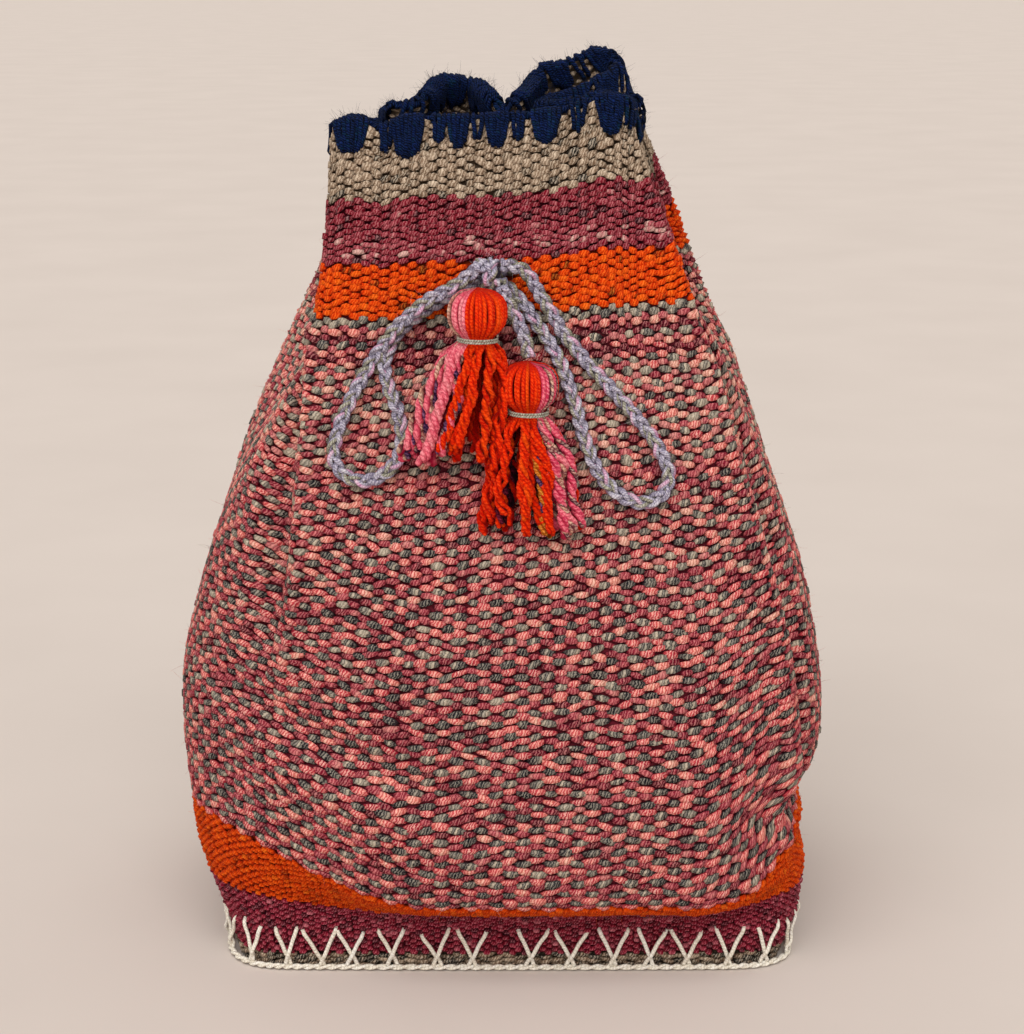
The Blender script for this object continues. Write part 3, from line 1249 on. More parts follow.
        places = np.zeros((count, len(rings), sides + 1, 2))
        offset = chance.uniform(0, 40, (count, 1, 1))
        places[..., 0] = (long[:, None, None] * ring) / MILLIMETRE + offset
        places[..., 1] = tall[:, None, None] * np.append(angle, angle[0] + TURN) / MILLIMETRE + offset
        skein = self.skeins.setdefault(name, Skein())
        skein.tubes(lay_down(a, b, c), lay_down(tip_a, tip_b, tip_c), places, np.clip(tone, 0, 1), 0, crowns)
        if not inside:
            strays = (chance.random(count) < (0.02 if fine else 0.055)) & (height > 0.0048)
            roots = self.surface.at(share[strays], height[strays], 0.001)
            facing = self.surface.facing(share[strays], height[strays])
            self.fleece.onto(skein, roots, facing, np.clip(tone[strays] + 0.25, 0, 1), 0.0034)

    def build(self) -> list[Piece]:
        """Make one piece for each yarn."""
        self.lay()
        return [dress(skein.build(f"{name}_weft", [self.wardrobe[name]]), Slot.WOVEN)
                for name, skein in self.skeins.items()]


@dataclass
class Warp:
    """The closed cloth behind the beads, in stretches with a start, an end and a count of rows."""

    surface: Surface
    weft_columns: int
    columns: int = 224
    stretches: tuple[tuple[float, float, int], ...] = (
        (0, 0.07, 14), (0.07, 0.16, 22), (0.16, 0.25, 9), (0.25, HEIGHT, 22))

    def finish(self) -> Material:
        """Make the finish: the stripes' own colours in deep shade, over a relief of crossing threads."""
        made, graph, shader = start_finish("warp_wool", 0.95, 0.1)
        place = graph.node("ShaderNodeUVMap", uv_map="yarn").outputs[0]
        parts = graph.node("ShaderNodeSeparateXYZ", {0: place}).outputs
        level = graph.math("DIVIDE", parts[1], HEIGHT / MILLIMETRE)
        top = 1 - np.cumsum([OATMEAL_BAND, MAROON_BAND, ORANGE_BAND]) / HEIGHT
        low = np.array([0.0065, BOTTOM_MAROON_BAND, BOTTOM_MAROON_BAND + BOTTOM_ORANGE_BAND]) / HEIGHT
        colours = graph.stops(level, [
            (0.0, linear(72, 60, 48)), (low[0], linear(60, 10, 24)), (low[1], linear(126, 38, 4)),
            (low[2], linear(104, 30, 42)), (top[2], linear(120, 34, 4)), (top[1], linear(60, 10, 24)),
            (top[0], linear(74, 60, 46))], "CONSTANT")
        across = graph.math("SINE", graph.math("MULTIPLY", parts[0], math.pi))
        upward = graph.math("SINE", graph.math("MULTIPLY", parts[1], math.pi / 1.5))
        weave = graph.math("MULTIPLY_ADD", graph.math("MULTIPLY", across, upward), 0.5, 0.5)
        tint = graph.math("MULTIPLY_ADD", weave, 0.7, 0.5)
        relief = graph.node("ShaderNodeBump", {"Strength": 0.8, "Distance": 0.0008, "Height": weave})
        graph.tree.links.new(graph.shaded(colours, tint), shader.inputs["Base Color"])
        graph.tree.links.new(relief.outputs[0], shader.inputs["Normal"])
        return made

    def build(self) -> Piece:
        """Make the piece: an outer and an inner grid, joined at the rim and at the foot."""
        columns = self.columns
        levels = np.unique(np.concatenate([np.linspace(*stretch) for stretch in self.stretches]))
        grid_share, grid_level = np.meshgrid(np.arange(columns) / columns, levels)
        outer, inner = (self.surface.at(grid_share, grid_level, depth) for depth in (-0.0015, -WALL + 0.0004))
        quad = grid_faces(len(levels), columns)
        place = grid_corners(np.stack(np.meshgrid(np.arange(columns + 1) * (self.weft_columns / columns),
                                                  levels / MILLIMETRE), -1)).reshape(-1, 4, 2)
        many = len(levels) * columns
        edge = np.arange(columns)
        beyond = (edge + 1) % columns
        top = many - columns
        rim = np.stack([top + edge, top + beyond, many + top + beyond, many + top + edge], -1)
        foot = np.stack([beyond, edge, many + edge, many + beyond], -1)
        rim_place = np.zeros((columns, 4, 2))
        rim_place[..., 1] = HEIGHT / MILLIMETRE
        skein = Skein()
        skein.add(np.concatenate([outer.reshape(-1, 3), inner.reshape(-1, 3)]),
                  [quad, quad[:, ::-1] + many, rim, foot], [place, place[:, ::-1], rim_place, rim_place * 0.0],
                  np.zeros(2 * many))
        return dress(skein.build("warp_ground", [self.finish()]), Slot.WOVEN, "bag_wall")


@dataclass
class Plait:
    """A three-strand plait along a route, each strand of three soft yarns.

    Across and through are the strands' swings, period and twist the lengths of a plait's and a
    strand's turn, strand and yarn half thicknesses, and palette each yarn's finish.
    """

    wardrobe: Wardrobe
    strands: int = 3
    yarns: int = 3
    across: float = 0.0017
    through: float = 0.00085
    strand: float = 0.00125
    yarn: float = 0.00082
    twist: float = 0.016
    period: float = 0.015
    palette: tuple[int, ...] = (0, 0, 1, 0, 2, 0, 0, 1, 0)

    def __post_init__(self) -> None:
        """Choose the finishes, and start the fibres that stand off all the plaits."""
        self.finishes = [self.wardrobe[name] for name in ("lavender", "moss", "blush")]
        self.chance = np.random.default_rng(23)
        self.fleece = Fleece(np.random.default_rng(29))
        self.fuzz = Skein()

    def lay(self, route: Array, guide: Array, fine: bool) -> tuple[Array, Array]:
        """Lay the yarns of a plait, wound round strands that swing across and through.

        Args:
            route: Its middle line.
            guide: The direction off the cloth.
            fine: Whether strands are laid yarn by yarn.

        Returns:
            The middles by yarn and point, and their heights from -1 to 1.
        """
        ahead = unit(np.gradient(route, axis=0))
        side = unit(np.cross(np.broadcast_to(guide, route.shape), ahead))
        up = np.cross(ahead, side)
        run = run_along(route)
        off = self.strand - self.yarn + 0.00008
        paths, levels = [], []
        for strand in range(self.strands):
            turn = TURN * (run / self.period + strand / self.strands)
            swell = 1 + 0.1 * np.sin(run * 210 + strand * 2.1)
            middle = (route + side * (self.across * np.sin(turn))[:, None]
                      + up * (self.through * np.sin(2 * turn))[:, None])
            if not fine:
                paths.append(middle)
                levels.append(np.sin(2 * turn))
                continue
            for yarn in range(self.yarns):
                wind = TURN * (run / self.twist + yarn / self.yarns) + strand
                paths.append(middle + side * (off * swell * np.cos(wind))[:, None]
                             + up * (off * np.sin(wind))[:, None])
                levels.append(0.7 * np.sin(2 * turn) + 0.3 * np.sin(wind))
        return np.array(paths), np.array(levels)

    def build(self, name: str, route: Array, guide: Array, node: str, fibres: int,
              fine: bool = True) -> Piece:
        """Make the plait's piece.

        Args:
            name: The piece's name.
            route: Its middle line.
            guide: The direction off the cloth.
            node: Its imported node.
            fibres: How many stray fibres it has.
            fine: Whether strands are laid yarn by yarn.

        Returns:
            The piece.
        """
        skein = Skein()
        paths, levels = self.lay(route, guide, fine)
        rings, tips, places = tube_rings(paths, self.yarn if fine else self.strand, guide, 5 if fine else 7)
        crowns = standing_out(rings, paths, unit(np.asarray(guide))) * (0.72 + 0.28 * levels)[:, :, None]
        places[..., 0] += np.arange(len(paths))[:, None, None] * 17.0
        for number in range(len(paths)):
            one = slice(number, number + 1)
            skein.tubes(rings[one], tips[one], places[one], np.array([0.3 + 0.09 * number % 0.5]),
                        self.palette[number % len(self.palette)], crowns[one], 0.6)
        pick = self.chance.integers(0, paths.shape[1], fibres)
        which = self.chance.integers(0, len(paths), fibres)
        facing = self.chance.normal(0, 1, (fibres, 3)) + np.broadcast_to(guide, route.shape)[pick]
        self.fleece.onto(self.fuzz, paths[which, pick], facing, self.chance.uniform(0.5, 1, fibres),
                         0.0034, 0.00005)
        return dress(skein.build(name, self.finishes), Slot.PLAIT, node)


@dataclass
class Drawstring:
    """The plaited cord: threaded through the neck, tied in front in a bow with two loops and a tail.

    Turns, width and slack shape the wraps of the knot. Front is the way off the front cloth.
    """

    wardrobe: Wardrobe
    neck_step: float = 0.0018
    bow_step: float = 0.001
    turns: float = 1.9
    half_width: float = 0.0042
    slack: float = 0.0002
    front: Triple = (0.0, -1.0, 0.12)

    def __post_init__(self) -> None:
        """Work out the routes."""
        self.plait = Plait(self.wardrobe)
        self.neck = even_route(neck_route(), self.neck_step)
        self.left, self.right, self.tail = (seated_route(route, self.bow_step)
                                            for route in (LEFT_LOOP, RIGHT_LOOP, RIGHT_TAIL))

    def build(self) -> dict[str, Piece]:
        """Make the pieces, the knot as a spiral round the cord's run.

        Returns:
            The pieces by name.
        """
        made = {name: self.plait.build(f"{name}_plait", route, np.array(self.front), name, fibres)
                for name, route, fibres in (("left_loop", self.left, 260), ("right_loop", self.right, 240),
                                            ("right_tail", self.tail, 40))}
        made["neck"] = self.plait.build("neck_plait", self.neck, np.array([0.0, 0.0, 1.0]), "drawstring_neck",
                                        60, fine=False)
        centre = np.array(front_seat(KNOT_X, threading_height(), KNOT_RING + CORD_RADIUS))
        turn = np.linspace(0, TURN * self.turns, 64) + 0.4
        reach = KNOT_RING + self.slack
        wrap = np.column_stack([np.linspace(-self.half_width, self.half_width, 64), -reach * np.cos(turn),
                                reach * np.sin(turn)])
        outward = unit(wrap * np.array([0.0, 1.0, 1.0]))
        made["knot"] = self.plait.build("bow_knot_plait", centre + wrap, outward, "bow_knot", 90)
        made["fuzz"] = dress(self.plait.fuzz.build("plait_fuzz", self.plait.finishes[:1]), Slot.PLAIT)
        return made


@dataclass(frozen=True)
class Tassel:
    """A bundle of wool yarns tied off below its head.

    It hangs from top, its back as far off the cloth as bed, and leans and spreads by the foot.
    Palette gives, from the left, where each group of yarns ends and its finishes in turn, and
    hidden is the same inside the head. Around, inner and bunch count the yarns over and inside
    the head and in a bunch. Waves are how close, and how far.
    """

    name: str
    slot: Slot
    top: Pair
    bed: float
    lean: float
    spread: float
    palette: tuple[tuple[float, Names], ...]
    hidden: tuple[tuple[float, Names], ...]
    seed: int
    finishes: Names = ("scarlet", "pink", "peach", "purple", "wine", "ochre")
    yarn: float = 0.00094
    around: int = 39
    inner: int = 39
    rings: int = 30
    bunch: int = 3
    twist: float = 0.0105
    waves: Line = ((130.0, 0.0011), (260.0, 0.0008), (520.0, 0.00035))

    def profile(self) -> Array:
        """Return rings down the tassel: distance from the top, half width, half depth."""
        head, neck = HEAD_RADIUS, HEAD_LENGTH
        rest = TASSEL_LENGTH - neck
        return np.array([
            (-0.0006, 0.1 * head, 0.1 * head), (0.04 * neck, 0.5 * head, 0.5 * head),
            (0.2 * neck, 0.86 * head, 0.86 * head), (0.46 * neck, head, head),
            (0.76 * neck, 0.9 * head, 0.9 * head), (neck, 0.86 * TASSEL_NECK, 0.86 * TASSEL_NECK),
            (neck + 0.1 * rest, 0.48 * self.spread, 0.0076),
            (neck + 0.3 * rest, 0.72 * self.spread, 0.0078),
            (neck + 0.6 * rest, 0.9 * self.spread, 0.0066), (TASSEL_LENGTH, self.spread, 0.0046)])

    def middle(self, down: float, half_depth: float) -> Array:
        """Return the middle of a ring, on its bed."""
        axis = max(half_depth, HEAD_RADIUS) if down < 1.1 * HEAD_LENGTH else half_depth
        shift = self.lean * max(0.0, down - HEAD_LENGTH)
        x, z = self.top
        return np.array(front_seat(x + shift, z - down, self.bed + axis * (1 + RIDGE_DEPTH)))

    def kind(self, across: float, turn: int, outer: bool) -> int:
        """Return the finish of a yarn by its place across the tassel and its layer."""
        for limit, names in self.palette if outer else self.hidden:
            if across <= limit:
                return self.finishes.index(names[turn % len(names)])
        return 0

    def paths(self) -> tuple[Array, Array, Array, Array]:
        """Lay the yarns: side by side over the head, and in twisted, waving bunches below it.

        Returns:
            Their middles by yarn and ring, finishes, ways outwards and layers.
        """
        chance = np.random.default_rng(self.seed)
        profile = self.profile()
        at = np.linspace(profile[0, 0], TASSEL_LENGTH * 1.06, 40)
        wide, deep = curve_through(np.minimum(at, TASSEL_LENGTH), profile[:, 0], profile[:, 1:]).T
        middles = np.array([self.middle(d, h) for d, h in zip(at, deep)])
        count = self.around + self.inner
        bunches = count // self.bunch
        number = np.arange(count)
        own = number // self.bunch
        outer = number < self.around
        angle = np.where(outer, (number + chance.normal(0, 0.14, count)) / self.around,
                         chance.random(bunches)[own]) * TURN
        layer = np.where(outer, 1.0, np.sqrt(chance.uniform(0.05, 0.85, bunches))[own])
        start = np.where(outer, at[0], 0.8 * HEAD_LENGTH)
        end = TASSEL_LENGTH * chance.normal(0.95, 0.05, bunches)[own] * chance.normal(1.0, 0.015, count)
        down = start[:, None] + (end - start)[:, None] * np.linspace(0, 1, self.rings)
        skirt = ramp(down, HEAD_LENGTH, HEAD_LENGTH + 0.01)
        together = angle.reshape(bunches, -1).mean(1) + chance.normal(0, 0.1, bunches)
        loose = angle[:, None] * (1 - skirt) + skirt * together[own, None]
        layer = layer * np.where(outer, chance.normal(1.0, 0.035, count), 1.0)
        slack = np.clip(layer + chance.normal(0, 0.1, bunches)[own], 0.05, 1.1)
        share = layer[:, None] * (1 - skirt) + skirt * slack[:, None]
        sway = [sum(chance.normal(0, size, (bunches, 1))[own]
                    * np.sin(down * close + chance.uniform(0, 6.3, (bunches, 1))[own])
                    for close, size in self.waves) for _ in range(2)]
        wind = (TURN * (down / self.twist + (number % self.bunch)[:, None] / self.bunch)
                + own[:, None] * 1.7)
        orbit = 1.12 * self.yarn * ramp(down, HEAD_LENGTH + 0.001, HEAD_LENGTH + 0.008)
        x, y, z = (np.interp(down, at, averaged(middles[:, k], 3)) for k in range(3))
        x = x + (np.interp(down, at, wide) - self.yarn) * share * np.cos(loose) + sway[0] * skirt
        y = y + (np.interp(down, at, deep) - 1.5 * self.yarn) * share * np.sin(loose) + 0.4 * sway[1] * skirt
        side = (np.cos(angle) * layer).reshape(bunches, -1).mean(1)[own]
        finish = np.array([self.kind(a, i, bool(o)) for i, (a, o) in enumerate(zip(side, outer))])
        outward = np.stack([np.cos(loose), np.sin(loose), 0 * loose], -1)
        round_bunch = np.stack([np.cos(wind), np.sin(wind), 0 * wind], -1)
        outward = unit(outward + 0.9 * skirt[..., None] * round_bunch)
        return np.stack([x + orbit * np.cos(wind), y + orbit * np.sin(wind), z], -1), finish, outward, layer

    def build(self, wardrobe: Wardrobe) -> Piece:
        """Make the yarns as one piece.

        Args:
            wardrobe: Finishes.

        Returns:
            The piece.
        """
        chance = np.random.default_rng(self.seed + 1)
        paths, finish, outward, layer = self.paths()
        count = len(paths)
        loose = np.where(finish == self.finishes.index("pink"), 0.5, 0.08)[:, None]
        thick = (self.yarn * chance.uniform(0.84, 1.12, (count, 1))
                 * (1 + loose * ramp(np.arange(self.rings), 9, 12)))
        rings, tips, places = tube_rings(paths, thick, np.array([1.0, 0.35, 0.0]), 5)
        crowns = standing_out(rings, paths, outward, -0.15, 0.75) * (0.45 + 0.55 * layer)[:, None, None]
        places[..., 0] += chance.uniform(0, 30, (count, 1, 1))
        skein = Skein()
        tones = np.clip(chance.normal(0.5, 0.22, count), 0, 1)
        fleece = Fleece(chance)
        for number in range(len(self.finishes)):
            chosen = finish == number
            if chosen.any():
                skein.tubes(rings[chosen], tips[chosen], places[chosen], tones[chosen], number,
                            crowns[chosen], 0.7)
                own = paths[chosen]
                picks = chance.integers(4, own.shape[1], 5 * len(own))
                which = chance.integers(0, len(own), 5 * len(own))
                fleece.onto(skein, own[which, picks], chance.normal(0, 1, (len(which), 3)) + (0, -0.8, 0),
                            np.full(len(which), 0.7), 0.0028, 0.00005, number)
        return dress(skein.build(f"{self.name}_yarns", [wardrobe[n] for n in self.finishes]), self.slot,
                     f"{self.name}_yarn")

    def binding(self, wardrobe: Wardrobe) -> Piece:
        """Make the thread wound round the neck, as a flat spiral.

        Args:
            wardrobe: Finishes.

        Returns:
            The piece.
        """
        turn = np.linspace(0, TURN * 2.2, 70)
        reach = TASSEL_NECK + 0.0004
        route = self.middle(HEAD_LENGTH, TASSEL_NECK) + np.column_stack(
            [reach * np.cos(turn), reach * np.sin(turn), np.linspace(0.001, -0.001, 70)])
        outward = np.column_stack([np.cos(turn), np.sin(turn), 0 * turn])
        skein = Skein()
        skein.yarns(route[None], 0.00045, outward[None], 6, np.array([0.4]))
        return dress(skein.build(f"{self.name}_wraps", [wardrobe["moss"]]), Slot.BINDING, f"{self.name}_binding")


def make_tassels(drawstring: Drawstring, wardrobe: Wardrobe) -> dict[str, Piece]:
    """Make both tassels, one under the knot and one at the end of the tail.

    Args:
        drawstring: Their cord.
        wardrobe: Finishes.

    Returns:
        Their pieces by name.
    """
    knot_foot = threading_height() - KNOT_RING - CORD_RADIUS
    end = drawstring.tail[-1]
    slope = unit(end - drawstring.tail[-6])
    tail_foot = end[2] - CORD_RADIUS * math.hypot(slope[0], slope[1]) - CLEARANCE
    left = Tassel(
        "left_tassel", Slot.PINK, (KNOT_X - 0.0045, knot_foot + TASSEL_TUCK), 2 * CORD_RADIUS + 0.0016,
        -0.26, 0.019,
        ((-0.7, ("peach", "pink", "pink")), (-0.24, ("pink",)), (1.0, ("scarlet",))),
        ((-0.3, ("peach", "purple", "pink")), (-0.05, ("pink", "peach")), (1.0, ("scarlet",))), 3)
    right = Tassel(
        "right_tassel", Slot.ORANGE, (float(end[0]), tail_foot), 0.0, 0.06, 0.021,
        ((0.1, ("scarlet",)), (0.24, ("ochre",)), (0.5, ("scarlet",)), (1.0, ("pink", "pink", "peach"))),
        ((-0.4, ("wine", "wine", "scarlet")), (0.1, ("scarlet",)), (0.4, ("purple", "ochre")),
         (1.0, ("pink", "peach"))), 9)
    made = {}
    for tassel in (left, right):
        made[tassel.name] = tassel.build(wardrobe)
        made[f"{tassel.name}_binding"] = tassel.binding(wardrobe)
    return made


@dataclass
class Edging:
    """The blanket stitch at the mouth: a roll of yarn along the rim, and teeth of wrapped strands.

    The front teeth are a place, a half width and a length, in steps. Wide and narrow give the
    limits of half width and length for the teeth behind, and room those of their spacing.
    """

    surface: Surface
    wardrobe: Wardrobe
    step: float = 0.000388
    middle: int = 503
    front: tuple[Shade, ...] = (
        (353, 15, 27), (388, 5, 22), (410, 14, 34), (440, 5, 22), (459, 9, 25), (478, 4, 21),
        (497, 10, 26), (518, 5, 22), (545, 13, 26), (577, 6, 23), (610, 14, 31), (633, 5, 25))
    wide: Line = ((0.0042, 0.0056), (0.0115, 0.015))
    narrow: Line = ((0.0014, 0.0021), (0.0085, 0.0105))
    room: Pair = (0.0088, 0.0108)
    strand: float = 0.001
    roll_strand: float = 0.00108
    roll_points: int = 420
    roll_turns: int = 46

    def __post_init__(self) -> None:
        """Start the sources of chance."""
        self.chance = np.random.default_rng(41)
        self.fleece = Fleece(np.random.default_rng(43))
        self.girth = float(self.surface.girth[-1])

    def rim(self, share: Array) -> tuple[Array, Array, Array]:
        """Return the points, the way out and the way up at places on the rim, as shares."""
        point = self.surface.at(share, HEIGHT)
        up = unit(point - self.surface.at(share, HEIGHT - 0.004))
        out = self.surface.facing(share, np.full(share.shape, HEIGHT))
        return point, unit(out - up * (out * up).sum(-1, keepdims=True)), up

    def groups(self) -> list[tuple[float, float, float, int]]:
        """Lay out the teeth: place along the rim, half width, length and strands of each."""
        made = [((at - self.middle) * self.step, half * self.step, long * self.step)
                for at, half, long in self.front]
        place = made[-1][0] + 0.01
        wide = True
        while place < made[0][0] + self.girth - 0.009:
            half, long = (self.chance.uniform(*limits) for limits in (self.wide if wide else self.narrow))
            made.append((place, half, long))
            place += self.chance.uniform(*self.room)
            wide = not wide
        return [(p, h, l, max(2, int(round(2 * h / 0.0014)))) for p, h, l in made]

    def teeth(self, skein: Skein) -> None:
        """Add the strands of every tooth, up the outside, over the rim and down the inside.

        Args:
            skein: Their mesh.
        """
        chance = self.chance
        rows = []
        for middle, half, length, count in self.groups():
            for t in (2 * i / (count - 1) - 1 for i in range(count)):
                rows.append((middle + t * half, -t * half * 0.36,
                             length * (1 - 0.16 * t**4) * chance.uniform(0.95, 1.06), chance.uniform(0.62, 0.8)))
        place, side, long, share_in = np.array(rows).T
        steps = np.array([1.0, 0.86, 0.62, 0.36, 0.12])
        back = steps[::-1]
        end = 0.0012 * ramp(steps, 0.86, 1.0)
        outer = self.surface.at((place[:, None] + side[:, None] * steps**1.4) / self.girth,
                                HEIGHT - long[:, None] * steps,
                                0.0014 - end[None] + chance.normal(0, 0.00018, (len(place), 1)))
        rim, out, up = self.rim(place / self.girth)
        arch = np.stack([rim + out * r + up * h for r, h in (
            (0.0013, 0.0002), (0.0002, 0.0017), (-0.0034, 0.0017), (-0.0047, 0.0002))], 1)
        inner = self.surface.at((place[:, None] + side[:, None] * back**1.4) / self.girth,
                                HEIGHT - (long * share_in)[:, None] * back, -WALL - 0.0013 + end[::-1][None])
        paths = np.concatenate([outer, arch, inner], 1)
        paths += chance.normal(0, 0.00018, paths.shape)
        rings, tips, places = tube_rings(paths, self.strand, np.cross(out, up)[:, None], 5)
        places[..., 0] += chance.uniform(0, 30, (len(paths), 1, 1))
        outward = np.repeat(np.stack([out, up, -out], 1), (5, 4, 5), 1)
        skein.tubes(rings, tips, places, np.clip(chance.normal(0.45, 0.25, len(paths)), 0, 1), 0,
                    standing_out(rings, paths, outward), 0.6)
        self._fuzz(skein, paths, 2300)

    def _fuzz(self, skein: Skein, paths: Array, count: int) -> None:
        """Add some fibres along paths, leaning away from the middle of the mouth."""
        which = self.chance.integers(0, len(paths), count)
        ring = self.chance.integers(0, paths.shape[1], count)
        away = unit(paths[which, ring] - np.array([-0.005, -0.01, HEIGHT - 0.02]))
        self.fleece.onto(skein, paths[which, ring], 0.6 * away + self.chance.normal(0, 0.8, (count, 3)),
                         self.chance.uniform(0.2, 1.0, count), 0.0036, 0.00007)

    def roll(self, skein: Skein) -> None:
        """Add the two yarns that wind round each other along the rim, higher over the wide teeth.

        Args:
            skein: Their mesh.
        """
        share = np.arange(self.roll_points) / self.roll_points
        rim, out, up = self.rim(share)
        along = ((share + 0.5) % 1 - 0.5) * self.girth
        wide = sum(bump((along - middle + 0.5 * self.girth) % self.girth, 0.5 * self.girth, half)
                   for middle, half, _, _ in self.groups() if half > 0.003)
        centre = rim - out * 0.0016 + up * (0.0001 + 0.001 * np.clip(wide, 0, 1))[:, None]
        for strand in range(2):
            turn = TURN * (self.roll_turns * share + strand / 2) + 0.5 * np.sin(TURN * 7 * share)
            swell = 1 + 0.28 * np.sin(TURN * 31 * share + strand)
            path = (centre + out * (0.00105 * np.cos(turn) * swell)[:, None]
                    + up * (0.00075 * np.sin(turn))[:, None])
            skein.closed_tube(path, self.roll_strand, up, 6, 0.45 + 0.2 * strand)
            self._fuzz(skein, path[None], 1100)

    def build(self) -> Piece:
        """Make the edging's piece."""
        skein = Skein()
        self.roll(skein)
        self.teeth(skein)
        return dress(skein.build("blanket_stitch_edging", [self.wardrobe["navy"]]), Slot.NAVY, "mouth_edging")


@dataclass
class Thread:
    """The cream threads: the edge cord, the cross-stitches and the seam.

    Ply and stitch are half thicknesses, and the front crosses stand in steps from the middle.
    """

    surface: Surface
    wardrobe: Wardrobe
    cord_points: int = 820
    cord_turns: int = 74
    ply: float = 0.00078
    ply_reach: float = 0.00058
    step: float = 0.000406
    middle: int = 503
    front: tuple[int, ...] = (238, 286, 322, 353, 394, 438, 473, 530, 571, 612, 648, 685, 727, 769)
    stitch: float = 0.00088

    def __post_init__(self) -> None:
        """Start the source of chance."""
        self.chance = np.random.default_rng(53)

    def edge_cord(self) -> Piece:
        """Make the two-ply cord round the foot."""
        count = self.cord_points
        base = Cloth([0.0], count).points(RIB_DEPTH + CORNER_ROOM + EDGE_CORD_RADIUS)[0]
        base[:, 2] = EDGE_CORD_RADIUS + CLEARANCE
        base[:, 0] += side_draw(base)
        outward = unit(np.column_stack([base[:, :2], np.zeros(count)]))
        upward = np.array([0.0, 0.0, 1.0])
        share = np.arange(count) / count
        skein = Skein()
        for strand in range(2):
            turn = TURN * (self.cord_turns * share + strand / 2) + 0.8 * np.sin(TURN * 9 * share)
            path = (base + outward * (self.ply_reach * np.cos(turn))[:, None]
                    + upward * (self.ply_reach * np.sin(turn))[:, None])
            skein.closed_tube(path, self.ply, upward, 5, 0.5 + 0.2 * strand)
        return self._finished(skein, "edge_cord_thread", "base_edge_cord")

    def _finished(self, skein: Skein, name: str, node: str) -> Piece:
        """Return the piece of a thread that stands for a node."""
        return dress(skein.build(name, [self.wardrobe["cream"]]), Slot.CREAM, node)

    def crossings(self, girth: float) -> Array:
        """Return the places of the crosses round a foot of this girth."""
        front = (np.array(self.front) - self.middle) * self.step
        rest = np.linspace(front[-1], front[0] + girth, STITCH_COUNT - len(front) + 2)[1:-1]
        return np.concatenate([front, rest + self.chance.normal(0, 0.0012, len(rest))])

    def cross_stitches(self) -> Piece:
        """Make the crosses round the foot, each with one leg over the other."""
        foot = 2 * EDGE_CORD_RADIUS + 2 * CLEARANCE
        girth = float(self.surface.girth_at(np.array([foot]))[0])
        legs = []
        for middle in self.crossings(girth):
            lean_l, lean_r = self.chance.normal(STITCH_LEAN, 0.0007, 2)
            foot_l, foot_r = self.chance.normal(0.0015, 0.0005, 2)
            top_l, top_r = STITCH_TOP - 0.003 + self.chance.normal(0, 0.0009, 2)
            legs.append((middle - lean_l, top_l, middle + foot_r, foot, 0.0012))
            legs.append((middle + lean_r, top_r, middle - foot_l, foot, 0.0024))
        t = np.linspace(0, 1, 15)
        start, high, end, low, lift = np.array(legs).T[..., None]
        along = start + (end - start) * t
        level = high + (low - high) * t
        off = (0.0009 + lift * bump(t, 0.72, 0.22) + 0.0008 * (1 - bump(t, 0.0, 0.1))
               - 0.0012 * bump(t, 0.0, 0.06))
        off += 0.0016 * ramp(t, 0.85, 1.0)
        paths = self.surface.at(along / girth, level, off)
        facing = self.surface.facing(along / girth, level)
        offset = self.chance.uniform(0, 30, (len(paths), 1, 1))
        tones = np.clip(self.chance.normal(0.6, 0.15, len(paths)), 0, 1)
        skein = Skein()
        skein.yarns(paths, self.stitch, facing, 6, tones, offset=offset, flatten=0.8)
        return self._finished(skein, "cross_stitch_thread", "base_cross_stitches")

    def seam(self) -> Piece:
        """Make the whip stitches up the back right corner, to and fro over it."""
        low, high = STITCH_TOP + 0.006, HEIGHT - TOOTH_LENGTH - 0.006
        heights = np.linspace(low, high, int((high - low) / SEAM_STEP) * 2)
        count = len(heights)
        cloth = Cloth(heights, 8)
        reach = np.where(np.arange(count) % 2, SEAM_REACH, -SEAM_REACH) / cloth.girth
        fine = np.linspace(0, count - 1, 8 * count)
        share, level = (np.interp(fine, np.arange(count), row)
                        for row in (cloth.corner_share[:, BACK_RIGHT_CORNER] + reach, heights))
        route = self.surface.at(share, level, 0.0017 + 0.0004 * np.cos(TURN * fine))
        skein = Skein()
        skein.yarns(route[None], SEAM_RADIUS, self.surface.facing(share, level)[None], 6, np.array([0.5]))
        return self._finished(skein, "seam_thread", "seam_yarn")


@dataclass
class Base:
    """The woven base panel, as rings at shares of its outline on both faces."""

    wardrobe: Wardrobe
    count: int = 144
    shares: Shares = (1.0, 0.985, 0.95, 0.9, 0.8, 0.7, 0.6, 0.5, 0.4, 0.3, 0.2, 0.1)
    edge: float = 0.0006

    def build(self) -> Piece:
        """Make the base's piece."""
        outline = Cloth([0.0], self.count).points(-WALL - CLEARANCE)[0]
        outline[:, 0] += side_draw(outline)
        rows = []
        for level, order, way in ((0.0, self.shares[::-1], 1), (PANEL_THICKNESS, self.shares, -1)):
            for share in order:
                row = outline * share
                row[:, 2] = level + (self.edge if share > 0.99 else 0.0) * way
                rows.append(row)
        rings = np.array(rows)[None]
        tips = np.array([[(0, 0, 0), (0, 0, PANEL_THICKNESS)]], float)
        places = np.concatenate([rings, rings[:, :, :1]], 2)[..., :2] / MILLIMETRE
        skein = Skein()
        skein.tubes(rings, tips, places, np.array([0.4]))
        return dress(skein.build("base_weave", [self.wardrobe["low_maroon"]]), Slot.BASE, "base_panel")


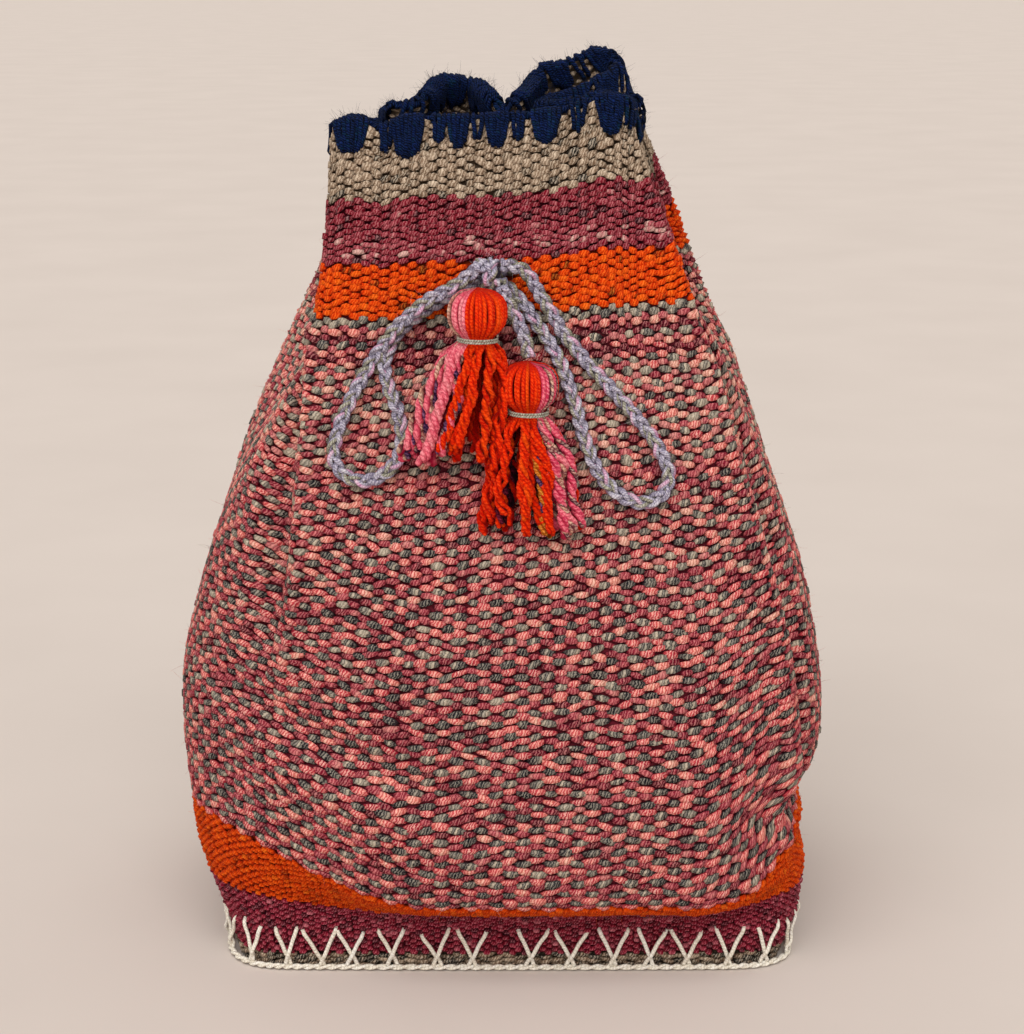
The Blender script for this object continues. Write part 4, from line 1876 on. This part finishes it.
@dataclass
class Studio:
    """The camera, the pale floor and the soft light.

    Each lamp is a name, its turn in degrees, its strength and how wide it is in degrees.
    """

    eye: Triple = (0.0, -0.9133, 0.3977)
    tilt: float = 14.0
    lens: float = 78.75
    shift: float = 0.0088
    floor_colour: Shade = (209, 198, 190)
    backdrop_colour: Shade = (222, 209, 198)
    sky: Shade = (255, 250, 244)
    sky_strength: float = 0.64
    lamps: tuple[tuple[str, Shade, float, int], ...] = (
        ("key", (40, -12, 0), 1.85, 60), ("fill", (62, 30, 0), 0.6, 90))

    def camera(self) -> None:
        """Place the camera at the photograph's viewing angle."""
        data = bpy.data.cameras.new("camera")
        data.sensor_fit = "HORIZONTAL"
        data.sensor_width = 36.0
        data.lens = self.lens
        data.shift_x = self.shift
        data.clip_start = 0.01
        data.clip_end = 200.0
        camera = bpy.data.objects.new("camera", data)
        camera.location = self.eye
        camera.rotation_euler = Euler((math.radians(90 - self.tilt), 0, 0))
        bpy.context.scene.collection.objects.link(camera)
        bpy.context.scene.camera = camera

    def floor(self) -> None:
        """Lay the pale floor, a wide disc."""
        angle = np.arange(96) / 96 * TURN
        rim = np.column_stack([60 * np.cos(angle), 60 * np.sin(angle), np.zeros(96)])
        mesh = bpy.data.meshes.new("floor")
        mesh.from_pydata(rim.tolist(), [], [list(range(96))])
        floor = bpy.data.objects.new("floor", mesh)
        bpy.context.scene.collection.objects.link(floor)
        finish, graph, shader = start_finish("floor_cloth", 0.95, 0.05)
        noise = graph.noise(graph.node("ShaderNodeTexCoord").outputs["Object"], 6.0, 3.0)
        colour = graph.stops(noise, [(0.3, linear(*(c - 4 for c in self.floor_colour))),
                                     (0.7, linear(*self.floor_colour))])
        graph.tree.links.new(colour, shader.inputs["Base Color"])
        mesh.materials.append(finish)

    def light(self) -> None:
        """Light the pouch softly from above and in front, with a backdrop that only the camera sees."""
        for name, turn, energy, angle in self.lamps:
            data = bpy.data.lights.new(name, "SUN")
            data.energy = energy
            data.angle = math.radians(angle)
            lamp = bpy.data.objects.new(name, data)
            lamp.rotation_euler = Euler([math.radians(t) for t in turn])
            bpy.context.scene.collection.objects.link(lamp)
        world = bpy.data.worlds.new("studio")
        bpy.context.scene.world = world
        world.use_nodes = True
        tree = world.node_tree
        graph = Graph(tree)
        path = graph.node("ShaderNodeLightPath").outputs
        seen = graph.math("MAXIMUM", graph.math("MAXIMUM", path["Is Camera Ray"], path["Is Glossy Ray"]),
                          path["Is Transmission Ray"])
        plain, backdrop = (graph.node("ShaderNodeBackground", {"Color": linear(*colour), "Strength": strength})
                           for colour, strength in ((self.sky, self.sky_strength), (self.backdrop_colour, 1.0)))
        mixed = graph.node("ShaderNodeMixShader", {0: seen, 1: plain.outputs[0], 2: backdrop.outputs[0]})
        tree.links.new(mixed.outputs[0], tree.nodes["World Output"].inputs["Surface"])
        bpy.context.scene.view_settings.view_transform = "Standard"

    def build(self) -> None:
        """Set the studio up."""
        self.camera()
        self.floor()
        self.light()


def declare_cords(pieces: dict[str, Piece], drawstring: Drawstring) -> None:
    """Say which pieces are free cord, with their lengths as laid.

    Args:
        pieces: Pieces by name.
        drawstring: The cord's routes.
    """
    for name, route, tassel, more in (("left_loop", drawstring.left, "left_tassel", ("knot", "fuzz")),
                                      ("right_loop", drawstring.right, "right_tassel", ("right_tail",))):
        length = float(run_along(route)[-1])
        LOG.info("%s is %.0f mm long", name, length / MILLIMETRE)
        pieces[name]
        tuple(route[0])
        [pieces[other] for other in (tassel, f"{tassel}_binding", *more)]
        [tuple(p) for p in route[::4]] + [tuple(route[-1])]


def main() -> None:
    """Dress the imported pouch."""
    logging.basicConfig(level=logging.INFO, format="%(name)s: %(message)s")
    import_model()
    Studio().build()
    wardrobe = Wardrobe()
    drawstring = Drawstring(wardrobe)
    pieces = drawstring.build()
    pieces |= make_tassels(drawstring, wardrobe)
    declare_cords(pieces, drawstring)
    surface = Surface()
    weave = Weave(surface, wardrobe, drawstring.neck)
    weft = weave.build()
    ground = Warp(surface, weave.columns).build()
    edging = Edging(surface, wardrobe).build()
    thread = Thread(surface, wardrobe)
    trim = [thread.edge_cord(), thread.cross_stitches(), thread.seam()]
    Base(wardrobe).build()


if __name__ == "__main__":
    main()
